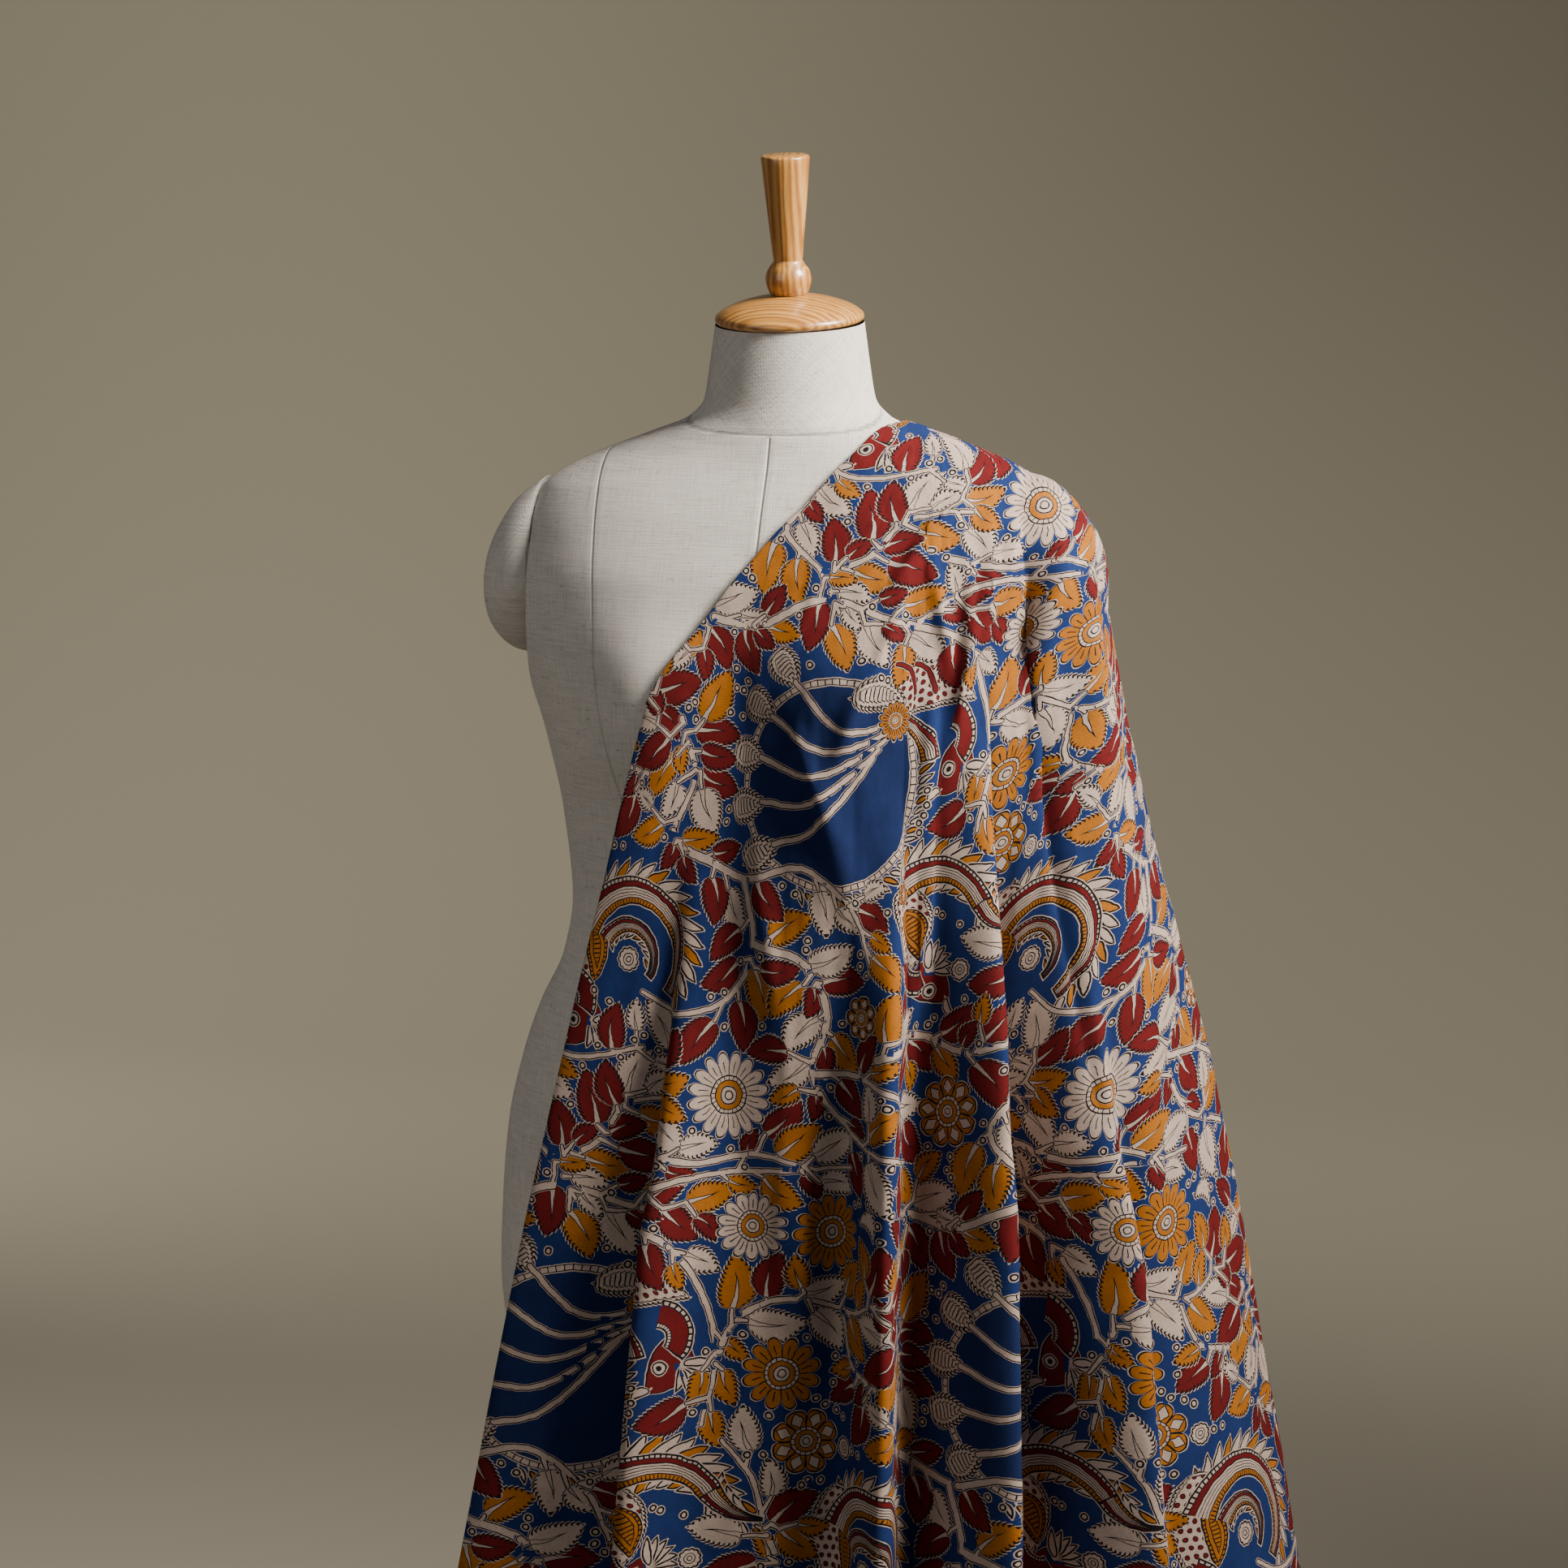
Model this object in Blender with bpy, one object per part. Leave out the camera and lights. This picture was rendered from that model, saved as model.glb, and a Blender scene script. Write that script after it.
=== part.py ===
"""Printed cotton cloth draped over the left shoulder of a linen-covered dress form.

Metres, +Z up. The form faces -Y and the wearer's left is +X. The origin is the centre
of the base's underside, on the floor.
"""

import math
from collections import namedtuple

import bmesh
import bpy
import numpy as np

# Heights above the floor
SHOULDER_POINT_Z = 1.3565
NECK_BASE_Z = 1.360
NECK_TOP_Z = 1.4295
TORSO_BOTTOM_Z = 0.600
CLOTH_HEM_Z = 0.330
BASE_HEIGHT = 0.034

# Torso
ARMHOLE_X = 0.186
ARMHOLE_FROM_Z = 1.150
NECK_TILT = math.radians(6.5)
BUST_X = 0.082
BUST_Z = 1.150
BUST_RISE = 0.024
BUST_WIDTH = 0.062
BUST_HEIGHT = 0.060
TORSO_SEGMENTS = 48
TORSO_RINGS = 30

# Stand, neck cap and finial
POLE_RADIUS = 0.016
CONTACT_GAP = 0.0003

# Cloth
CLOTH_THICKNESS = 0.002
CLOTH_CLEARANCE = 0.0030
CLOTH_LIFT = 0.0021
SHOULDER_EASE = 0.004
STUMP_EASE = 1.05
STUMP_LAP = 0.001
SEARCH_RADIUS = 0.340
SEARCH_STEP = 0.001
SEARCH_ROWS = 150
SEARCH_FROM = 210.0
SEARCH_TO = 480.0
SEARCH_TURN = 2.0
SHOULDER_POINT_X = 0.088
HANG_GROWTH = 0.36
SPREAD_FROM_Z = 1.10
SPREAD_BAND = 0.12
TOP_CROWDING = 1.6
COLUMN_POINTS = 400
COLUMNS_PER_FOLD = 3
CLOTH_ROWS = 28
ROW_CROWDING = 1.45

Section = namedtuple("Section", "height half_width front back power")
TORSO_SECTIONS = (
    Section(0.600, 0.196, 0.118, 0.142, 2.2),
    Section(0.622, 0.208, 0.126, 0.152, 2.2),
    Section(0.714, 0.223, 0.136, 0.164, 2.2),
    Section(0.771, 0.221, 0.135, 0.160, 2.2),
    Section(0.828, 0.216, 0.130, 0.148, 2.2),
    Section(0.884, 0.203, 0.122, 0.132, 2.2),
    Section(0.918, 0.191, 0.116, 0.122, 2.2),
    Section(0.959, 0.172, 0.109, 0.112, 2.2),
    Section(1.000, 0.165, 0.106, 0.108, 2.2),
    Section(1.066, 0.171, 0.114, 0.114, 2.2),
    Section(1.126, 0.183, 0.122, 0.124, 2.3),
    Section(1.185, 0.200, 0.122, 0.130, 2.4),
    Section(1.240, 0.206, 0.112, 0.126, 2.4),
    Section(1.280, 0.202, 0.095, 0.112, 2.3),
    Section(1.308, 0.188, 0.080, 0.094, 2.2),
    Section(1.324, 0.166, 0.071, 0.083, 2.1),
    Section(1.338, 0.134, 0.065, 0.076, 2.0),
    Section(1.350, 0.1025, 0.061, 0.071, 2.0),
    Section(1.361, 0.0750, 0.059, 0.067, 2.0),
    Section(1.374, 0.0635, 0.057, 0.063, 2.0),
    Section(1.394, 0.0600, 0.055, 0.058, 2.0),
    Section(1.4295, 0.0550, 0.052, 0.054, 2.0),
)

StumpSection = namedtuple("StumpSection", "reach top bottom half_depth")
STUMP_SECTIONS = (
    StumpSection(0.1863, 1.314, 1.186, 0.053),
    StumpSection(0.196, 1.308, 1.182, 0.055),
    StumpSection(0.208, 1.298, 1.183, 0.052),
    StumpSection(0.218, 1.284, 1.189, 0.046),
    StumpSection(0.226, 1.268, 1.199, 0.036),
    StumpSection(0.230, 1.252, 1.211, 0.022),
)

# The plan angle, in degrees about the shoulder point, of the cloth's two upright edges
EdgeAngle = namedtuple("EdgeAngle", "height front back")
EDGE_ANGLES = (
    EdgeAngle(0.330, 213.5, 472.0),
    EdgeAngle(0.507, 214.0, 472.0),
    EdgeAngle(0.745, 215.0, 472.0),
    EdgeAngle(0.918, 217.0, 472.0),
    EdgeAngle(1.040, 219.0, 471.0),
    EdgeAngle(1.145, 221.0, 470.0),
    EdgeAngle(1.202, 224.0, 468.0),
    EdgeAngle(1.282, 233.0, 463.0),
    EdgeAngle(1.298, 237.0, 461.0),
    EdgeAngle(1.325, 243.0, 458.0),
    EdgeAngle(1.339, 249.0, 456.0),
    EdgeAngle(1.357, 255.0, 455.0),
)

# How far the cloth hangs outside its resting place: where that begins and what it is at the hem
Flare = namedtuple("Flare", "angle start hem")
FLARES = (
    Flare(213.0, 1.150, 0.155),
    Flare(240.0, 1.150, 0.100),
    Flare(270.0, 1.150, 0.075),
    Flare(300.0, 1.180, 0.090),
    Flare(330.0, 1.200, 0.135),
    Flare(350.0, 1.220, 0.165),
    Flare(380.0, 1.220, 0.155),
    Flare(420.0, 1.200, 0.120),
    Flare(472.0, 1.200, 0.110),
)

# Crests and troughs from the front edge round to the back edge: plan angles in degrees,
# the rise at the hem and the height where the fold begins
Fold = namedtuple("Fold", "high_angle hem_angle rise start")
FOLDS = (
    Fold(226.0, 228.5, -0.026, 1.120),
    Fold(231.5, 235.5, 0.024, 1.120),
    Fold(240.0, 241.0, -0.008, 1.060),
    Fold(252.0, 252.0, -0.014, 1.060),
    Fold(267.0, 266.0, -0.026, 1.100),
    Fold(279.5, 277.5, 0.029, 1.120),
    Fold(283.0, 280.5, -0.014, 1.120),
    Fold(292.0, 288.0, -0.012, 1.120),
    Fold(307.5, 301.5, 0.034, 1.220),
    Fold(310.5, 304.5, -0.036, 1.190),
    Fold(319.0, 313.0, -0.046, 1.170),
    Fold(331.0, 325.5, 0.028, 1.100),
    Fold(338.0, 333.0, 0.000, 1.080),
    Fold(352.0, 349.0, 0.000, 1.150),
    Fold(372.0, 370.0, 0.022, 1.160),
    Fold(386.0, 386.0, -0.022, 1.160),
    Fold(401.0, 402.0, 0.022, 1.140),
    Fold(415.0, 416.0, -0.022, 1.140),
    Fold(430.0, 431.0, 0.022, 1.120),
    Fold(445.0, 446.0, -0.018, 1.120),
    Fold(459.0, 460.0, 0.012, 1.120),
)

# Turned profiles: distance from the axis and height above the piece's seat
Turned = namedtuple("Turned", "radius height")
CAP_PROFILE = (
    Turned(0.0525, 0.0000),
    Turned(0.0550, 0.0020),
    Turned(0.0550, 0.0050),
    Turned(0.0530, 0.0075),
    Turned(0.0470, 0.0115),
    Turned(0.0370, 0.0155),
    Turned(0.0250, 0.0187),
    Turned(0.0140, 0.0205),
)
FINIAL_PROFILE = (
    Turned(0.0130, 0.0000),
    Turned(0.0150, 0.0030),
    Turned(0.0168, 0.0080),
    Turned(0.0170, 0.0130),
    Turned(0.0155, 0.0180),
    Turned(0.0120, 0.0225),
    Turned(0.0104, 0.0250),
    Turned(0.0110, 0.0270),
    Turned(0.0180, 0.0990),
    Turned(0.0176, 0.1008),
    Turned(0.0165, 0.1015),
)
BASE_PROFILE = (
    Turned(0.1880, 0.0000),
    Turned(0.1900, 0.0030),
    Turned(0.1900, 0.0140),
    Turned(0.1860, 0.0180),
    Turned(0.1200, 0.0240),
    Turned(0.0420, 0.0300),
    Turned(0.0340, 0.0340),
)

Finish = namedtuple("Finish", "name colour roughness metallic")
LINEN = Finish("linen", (0.50, 0.46, 0.41), 0.90, 0.0)
OAK = Finish("varnished_wood", (0.58, 0.32, 0.11), 0.30, 0.0)
DARK_STEEL = Finish("dark_steel", (0.05, 0.05, 0.05), 0.45, 1.0)
PRINTED_COTTON = Finish("printed_cotton", (0.06, 0.10, 0.28), 0.85, 0.0)


def clear_scene():
    """Remove every object of the scene."""
    for old in list(bpy.data.objects):
        bpy.data.objects.remove(old, do_unlink=True)


def material(finish):
    """The material of a finish, made once."""
    if finish.name in bpy.data.materials:
        return bpy.data.materials[finish.name]
    made = bpy.data.materials.new(finish.name)
    made.use_nodes = True
    shader = made.node_tree.nodes["Principled BSDF"]
    shader.inputs["Base Color"].default_value = (*finish.colour, 1.0)
    shader.inputs["Roughness"].default_value = finish.roughness
    shader.inputs["Metallic"].default_value = finish.metallic
    return made


def add_object(name, bm, finish):
    """An object named for its sub-part, from a closed bmesh."""
    bmesh.ops.recalc_face_normals(bm, faces=bm.faces)
    mesh = bpy.data.meshes.new(name)
    bm.to_mesh(mesh)
    bm.free()
    mesh.shade_smooth()
    mesh.set_sharp_from_angle(angle=math.radians(40.0))
    mesh.materials.append(material(finish))
    made = bpy.data.objects.new(name, mesh)
    bpy.context.collection.objects.link(made)
    return made


def smooth(places, values, at):
    """A monotone cubic through a table's values."""
    places = np.asarray(places, float)
    values = np.asarray(values, float)
    steps = np.diff(places)
    rates = np.diff(values) / steps
    slopes = np.zeros_like(values)
    total = rates[:-1] + rates[1:]
    turning = rates[:-1] * rates[1:] <= 0.0
    slopes[1:-1] = np.where(turning, 0.0, 2 * rates[:-1] * rates[1:] / np.where(turning, 1.0, total))
    slopes[0] = rates[0]
    slopes[-1] = rates[-1]
    at = np.clip(at, places[0], places[-1])
    i = np.clip(np.searchsorted(places, at, "right") - 1, 0, len(steps) - 1)
    t = (at - places[i]) / steps[i]
    rise = values[i] * (1 + 2 * t) * (1 - t) ** 2 + values[i + 1] * t * t * (3 - 2 * t)
    return rise + steps[i] * t * (1 - t) * (slopes[i] * (1 - t) - slopes[i + 1] * t)


def table_column(rows, name, at, key="height"):
    """One column of a table, read smoothly at some place."""
    return smooth([getattr(r, key) for r in rows], [getattr(r, name) for r in rows], at)


def bust_rise(x, z):
    """How far the bust stands out of the chest."""
    across = (np.abs(x) - BUST_X) / BUST_WIDTH
    up = (z - BUST_Z) / BUST_HEIGHT
    return BUST_RISE * np.exp(-across * across - up * up)


def torso_depth(x, z, front):
    """The torso's depth in front of or behind y = 0 at a place across it."""
    power = table_column(TORSO_SECTIONS, "power", z)
    inside = 1.0 - np.abs(x / table_column(TORSO_SECTIONS, "half_width", z)) ** power
    inside = np.maximum(inside, 0.0)
    flat = np.where(
        front, table_column(TORSO_SECTIONS, "front", z), table_column(TORSO_SECTIONS, "back", z)
    )
    return flat * inside ** (1.0 / power) + np.where(front, bust_rise(x, z), 0.0) * np.sqrt(inside)


def torso_ring(z):
    """The points of one section of the torso; the neck's sections tilt forward."""
    angles = np.arange(TORSO_SEGMENTS) * 2 * math.pi / TORSO_SEGMENTS
    power = table_column(TORSO_SECTIONS, "power", z)
    half_width = table_column(TORSO_SECTIONS, "half_width", z)
    x = half_width * np.sign(np.cos(angles)) * np.abs(np.cos(angles)) ** (2.0 / power)
    front = np.sin(angles) < 0.0
    y = np.where(front, -1.0, 1.0) * torso_depth(x, z, front)
    if z > ARMHOLE_FROM_Z:
        x = np.clip(x, -ARMHOLE_X, ARMHOLE_X)
    along_neck = max(0.0, (z - NECK_BASE_Z) / (NECK_TOP_Z - NECK_BASE_Z))
    tilt = math.tan(NECK_TILT * along_neck)
    return [(float(px), float(py), z + float(py) * tilt) for px, py in zip(x, y)]


def loft(rings):
    """A closed body through rings of points, capped at both ends."""
    bm = bmesh.new()
    levels = [[bm.verts.new(p) for p in ring] for ring in rings]
    count = len(levels[0])
    for low, high in zip(levels, levels[1:]):
        for i in range(count):
            j = (i + 1) % count
            bm.faces.new((low[i], low[j], high[j], high[i]))
    bm.faces.new(levels[0][::-1])
    bm.faces.new(levels[-1])
    return bm


def torso_heights():
    """Section heights, closer together where the shoulders slope."""
    steps = np.linspace(0.0, 1.0, TORSO_RINGS)
    places = (0.0, 0.05, 0.58, 0.80, 0.92, 1.0)
    heights = (TORSO_BOTTOM_Z, 0.622, 1.240, 1.324, 1.374, NECK_TOP_Z)
    return smooth(places, heights, steps)


def build_torso():
    """The padded torso with its neck."""
    return add_object("torso", loft([torso_ring(z) for z in torso_heights()]), LINEN)


def stump_ring(section, side, segments=28):
    """One upright section of an arm stump."""
    middle = (section.top + section.bottom) / 2
    half_height = (section.top - section.bottom) / 2
    ring = []
    for i in range(segments):
        angle = 2 * math.pi * i / segments
        y = section.half_depth * math.cos(angle)
        ring.append((side * section.reach, y, middle + half_height * math.sin(angle)))
    return ring


def build_stump(name, side):
    """An arm stump, seated on the flat of its armhole."""
    return add_object(name, loft([stump_ring(s, side) for s in STUMP_SECTIONS]), LINEN)


def turned(profile, segments):
    """A turned body about its own Z axis."""
    rings = []
    for row in profile:
        angles = [2 * math.pi * i / segments for i in range(segments)]
        rings.append([(row.radius * math.cos(a), row.radius * math.sin(a), row.height) for a in angles])
    return loft(rings)


def build_neck_pieces():
    """The cap and the finial, on the neck's tilted top."""
    neck_top = bpy.data.objects.new("neck_top", None)
    neck_top.location = (0.0, 0.0, NECK_TOP_Z)
    neck_top.rotation_euler = (NECK_TILT, 0.0, 0.0)
    bpy.context.collection.objects.link(neck_top)
    cap = add_object("neck_cap", turned(CAP_PROFILE, 48), OAK)
    cap.location = (0.0, 0.0, CONTACT_GAP)
    finial = add_object("finial", turned(FINIAL_PROFILE, 32), OAK)
    finial.location = (0.0, 0.0, CAP_PROFILE[-1].height + 2 * CONTACT_GAP)
    for piece in (cap, finial):
        piece.parent = neck_top


def build_stand():
    """The round base and the pole under the torso."""
    add_object("base", turned(BASE_PROFILE, 64), DARK_STEEL)
    pole_length = TORSO_BOTTOM_Z - BASE_HEIGHT - 2 * CONTACT_GAP
    pole_profile = (Turned(POLE_RADIUS, 0.0), Turned(POLE_RADIUS, pole_length))
    pole = add_object("pole", turned(pole_profile, 32), DARK_STEEL)
    pole.location = (0.0, 0.0, BASE_HEIGHT + CONTACT_GAP)


def inside_form(x, y, z):
    """Whether points lie in the torso or in the left arm stump."""
    in_torso = np.abs(y) <= torso_depth(x, z, y < 0.0)
    in_torso &= np.abs(x) < table_column(TORSO_SECTIONS, "half_width", z)
    in_torso &= (x <= ARMHOLE_X) | (z < ARMHOLE_FROM_Z)
    top = table_column(STUMP_SECTIONS, "top", x, "reach")
    bottom = table_column(STUMP_SECTIONS, "bottom", x, "reach")
    depth = table_column(STUMP_SECTIONS, "half_depth", x, "reach")
    up = (z - (top + bottom) / 2) / ((top - bottom) / 2)
    in_stump = (y / depth) ** 2 + up * up <= STUMP_EASE**2
    in_stump &= (x > ARMHOLE_X - STUMP_LAP) & (x <= STUMP_SECTIONS[-1].reach + STUMP_LAP)
    return in_torso | in_stump


def resting_radius():
    """How far the form reaches from the shoulder point's axis, at or above each height.

    Returns the plan angles in degrees, the heights from the top down and the radii.
    """
    angles = np.arange(SEARCH_FROM, SEARCH_TO, SEARCH_TURN)
    drop = np.linspace(0.0, 1.0, SEARCH_ROWS) ** TOP_CROWDING
    heights = SHOULDER_POINT_Z - drop * (SHOULDER_POINT_Z - CLOTH_HEM_Z)
    reach = np.arange(0.0, SEARCH_RADIUS, SEARCH_STEP)
    bearing = np.radians(angles)[:, None, None]
    x = SHOULDER_POINT_X + reach[None, None, :] * np.cos(bearing)
    y = reach[None, None, :] * np.sin(bearing)
    inside = inside_form(x, y, np.maximum(heights[None, :, None], TORSO_BOTTOM_Z))
    radius = (inside * reach[None, None, :]).max(axis=2)
    return angles, heights, np.maximum.accumulate(radius, axis=1)


def read_grid(grid, angle, height):
    """The resting radius at a plan angle and a height, between the grid's points."""
    angles, heights, radii = grid
    a = np.clip((angle - angles[0]) / (angles[1] - angles[0]), 0.0, len(angles) - 1.001)
    i = a.astype(int)
    h = np.clip(np.searchsorted(-heights, -height, "right") - 1, 0, len(heights) - 2)
    t = np.clip((heights[h] - height) / (heights[h] - heights[h + 1]), 0.0, 1.0)
    along = a - i
    low = radii[i, h] * (1 - along) + radii[i + 1, h] * along
    high = radii[i, h + 1] * (1 - along) + radii[i + 1, h + 1] * along
    return low * (1 - t) + high * t


def spline(values, at):
    """A Catmull-Rom curve through evenly spaced rows of values."""
    padded = np.concatenate([2 * values[:1] - values[1:2], values, 2 * values[-1:] - values[-2:-1]])
    i = np.clip(at.astype(int), 0, len(values) - 2)
    t = (at - i)[:, None]
    p0, p1, p2, p3 = (padded[i + k] for k in range(4))
    bend = (2 * p0 - 5 * p1 + 4 * p2 - p3) * t * t + (3 * p1 - p0 - 3 * p2 + p3) * t**3
    return p1 + 0.5 * ((p2 - p0) * t + bend)


def fold_rows(z):
    """Plan angle and rise of each crest and trough, and of the two edges, at some heights."""
    level = np.clip((SPREAD_FROM_Z - z) / (SPREAD_FROM_Z - CLOTH_HEM_Z), 0.0, 1.0)
    grown = [np.clip((f.start - z) / HANG_GROWTH, 0.0, 1.0) for f in FOLDS]
    front = table_column(EDGE_ANGLES, "front", z)
    back = table_column(EDGE_ANGLES, "back", z)
    hem_front = EDGE_ANGLES[0].front
    hem_back = EDGE_ANGLES[0].back
    angles = [front]
    rises = [np.zeros_like(z)]
    for fold, share in zip(FOLDS, grown):
        free = fold.high_angle + (fold.hem_angle - fold.high_angle) * level
        place = (free - hem_front) / (hem_back - hem_front)
        squeezed = front + (back - front) * place
        upper = np.clip((z - SPREAD_FROM_Z) / SPREAD_BAND, 0.0, 1.0)
        angles.append(free * (1 - upper) + squeezed * upper)
        rises.append(fold.rise * share * share * (3 - 2 * share))
    angles.append(back)
    rises.append(np.zeros_like(z))
    return np.array(angles), np.array(rises)


def cloth_column(grid, at, z):
    """Points of the cloth's inner face down one column, at the given heights."""
    angles, rises = fold_rows(z)
    places = np.full(1, at)
    angle = spline(angles, places)[0]
    rise = spline(rises, places)[0]
    rest = read_grid(grid, angle, z)
    start = table_column(FLARES, "start", angle, "angle")
    hem = table_column(FLARES, "hem", angle, "angle")
    fall = np.maximum(start - z, 0.0) / (start - CLOTH_HEM_Z)
    clearance = CLOTH_CLEARANCE * np.clip((SHOULDER_POINT_Z - z) / SHOULDER_EASE, 0.0, 1.0)
    radius = np.maximum(rest + hem * fall + rise, rest) + clearance
    x = SHOULDER_POINT_X + radius * np.cos(np.radians(angle))
    y = radius * np.sin(np.radians(angle))
    return np.stack([x, y, z + CLOTH_LIFT], axis=1)


def resample(points, shares):
    """Points at shares of a line's length."""
    lengths = np.concatenate([[0.0], np.cumsum(np.linalg.norm(np.diff(points, axis=0), axis=1))])
    wanted = shares * lengths[-1]
    return np.stack([np.interp(wanted, lengths, points[:, k]) for k in range(3)], axis=1)


def cloth_sheet():
    """The cloth's inner face: a grid of points, column by column from the shoulder down."""
    grid = resting_radius()
    drop = np.linspace(0.0, 1.0, COLUMN_POINTS) ** TOP_CROWDING
    heights = SHOULDER_POINT_Z - drop * (SHOULDER_POINT_Z - CLOTH_HEM_Z)
    shares = np.linspace(0.0, 1.0, CLOTH_ROWS + 1) ** ROW_CROWDING
    count = (len(FOLDS) + 1) * COLUMNS_PER_FOLD
    places = np.arange(count + 1) / COLUMNS_PER_FOLD
    return np.array([resample(cloth_column(grid, at, heights), shares) for at in places])


def sheet_normals(sheet):
    """The outward direction at each point of the sheet."""
    across = np.gradient(sheet, axis=0)
    down = np.gradient(sheet, axis=1)
    normal = np.cross(down, across)
    normal[:, 0] = (0.0, 0.0, 1.0)
    return normal / np.linalg.norm(normal, axis=2, keepdims=True)


def build_cloth():
    """The draped cloth: two faces a sheet's thickness apart, joined at the edges."""
    inner = cloth_sheet()
    outer = inner + sheet_normals(inner) * CLOTH_THICKNESS
    bm = bmesh.new()
    layers = []
    for face in (inner, outer):
        top = bm.verts.new(face[0, 0])
        layers.append([[top] + [bm.verts.new(p) for p in column[1:]] for column in face])
    for layer in layers:
        for left, right in zip(layer, layer[1:]):
            bm.faces.new((left[0], left[1], right[1]))
            for row in range(1, CLOTH_ROWS):
                bm.faces.new((left[row], left[row + 1], right[row + 1], right[row]))
    inner_rim, outer_rim = (
        layer[0] + [column[-1] for column in layer[1:]] + layer[-1][-2:0:-1] for layer in layers
    )
    for i in range(len(inner_rim)):
        j = (i + 1) % len(inner_rim)
        bm.faces.new((inner_rim[i], inner_rim[j], outer_rim[j], outer_rim[i]))
    return add_object("kalamkari_cloth", bm, PRINTED_COTTON)


clear_scene()
build_torso()
build_stump("arm_stump_left", 1)
build_stump("arm_stump_right", -1)
build_neck_pieces()
build_stand()
build_cloth()
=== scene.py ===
"""Looks of a printed cotton cloth draped over a linen-covered dress form.

Metres, +Z up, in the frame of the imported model. The form faces -Y, the wearer's left
is +X and the origin is the centre of the base's underside. The print is worked out in
millimetres on the cloth laid flat: u runs along the weft and w up the warp.
"""

from __future__ import annotations

import logging
import random
from collections.abc import Callable, Iterable, Sequence
from dataclasses import dataclass, field
from enum import Enum, IntEnum
from math import atan2, ceil, copysign, cos, floor, hypot, pi, radians, sin, tan, tau
from typing import Any, NamedTuple

import bmesh
import bpy
import numpy as np
from mathutils import Matrix, Vector

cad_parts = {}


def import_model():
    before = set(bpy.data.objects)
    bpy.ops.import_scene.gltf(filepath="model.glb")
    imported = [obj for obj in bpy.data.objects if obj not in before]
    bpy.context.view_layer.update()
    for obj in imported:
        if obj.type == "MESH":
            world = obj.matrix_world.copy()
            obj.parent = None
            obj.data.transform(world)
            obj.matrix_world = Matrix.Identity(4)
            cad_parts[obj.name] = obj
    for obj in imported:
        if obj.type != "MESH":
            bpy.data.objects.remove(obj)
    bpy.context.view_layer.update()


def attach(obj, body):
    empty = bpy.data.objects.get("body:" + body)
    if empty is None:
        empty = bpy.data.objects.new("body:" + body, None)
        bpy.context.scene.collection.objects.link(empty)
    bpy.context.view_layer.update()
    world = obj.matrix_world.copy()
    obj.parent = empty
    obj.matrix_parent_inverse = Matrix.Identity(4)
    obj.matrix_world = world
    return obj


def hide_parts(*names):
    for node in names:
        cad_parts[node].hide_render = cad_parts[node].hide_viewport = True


LOG = logging.getLogger("draped_cloth")
MM = 0.001
BODY = "root"
Place = tuple[float, float]
Colour = tuple[float, float, float]


def operator(operation: str, swapped: bool = False) -> Callable[..., Signal]:
    """A method that adds one Math node; swapped puts the other value first."""

    def method(self: Signal, *others: Any) -> Signal:
        """Add the node."""
        return self.math(operation, *others, swapped=swapped)

    return method


@dataclass(frozen=True, eq=False)
class Signal:
    """One output socket of a node, with arithmetic that adds Math nodes."""

    tree: bpy.types.NodeTree
    socket: bpy.types.NodeSocket

    def math(self, operation: str, *others: Any, swapped: bool = False) -> Signal:
        """Add one Math node.

        Args:
            operation: The node's operation.
            others: Signals or numbers for its other inputs.
            swapped: Whether this signal comes last.

        Returns:
            The node's value.
        """
        node = self.tree.nodes.new("ShaderNodeMath")
        node.operation = operation
        for socket, value in zip(node.inputs, (*others, self) if swapped else (self, *others)):
            if isinstance(value, Signal):
                self.tree.links.new(value.socket, socket)
            else:
                socket.default_value = value
        return Signal(self.tree, node.outputs[0])

    __add__ = __radd__ = operator("ADD")
    __mul__ = __rmul__ = operator("MULTIPLY")
    __sub__, __rsub__ = operator("SUBTRACT"), operator("SUBTRACT", swapped=True)
    __truediv__, __rtruediv__ = operator("DIVIDE"), operator("DIVIDE", swapped=True)
    __pow__, __abs__ = operator("POWER"), operator("ABSOLUTE")
    __gt__, __lt__ = operator("GREATER_THAN"), operator("LESS_THAN")
    least, most, arctan2 = operator("MINIMUM"), operator("MAXIMUM"), operator("ARCTAN2")
    fract, floor, sine = operator("FRACT"), operator("FLOOR"), operator("SINE")
    root, sign = operator("SQRT"), operator("SIGN")

    def near(self, value: float, within: float = 0.5) -> Signal:
        """One where this is close to a value."""
        return self.math("COMPARE", value, within)

    def held(self) -> Signal:
        """This value held between 0 and 1."""
        return self.most(0.0).least(1.0)

    def between(self, low: float, high: float) -> Signal:
        """This value as a share of the way from low to high, from 0 to 1."""
        return ((self - low) * (1.0 / (high - low))).held()


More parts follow.
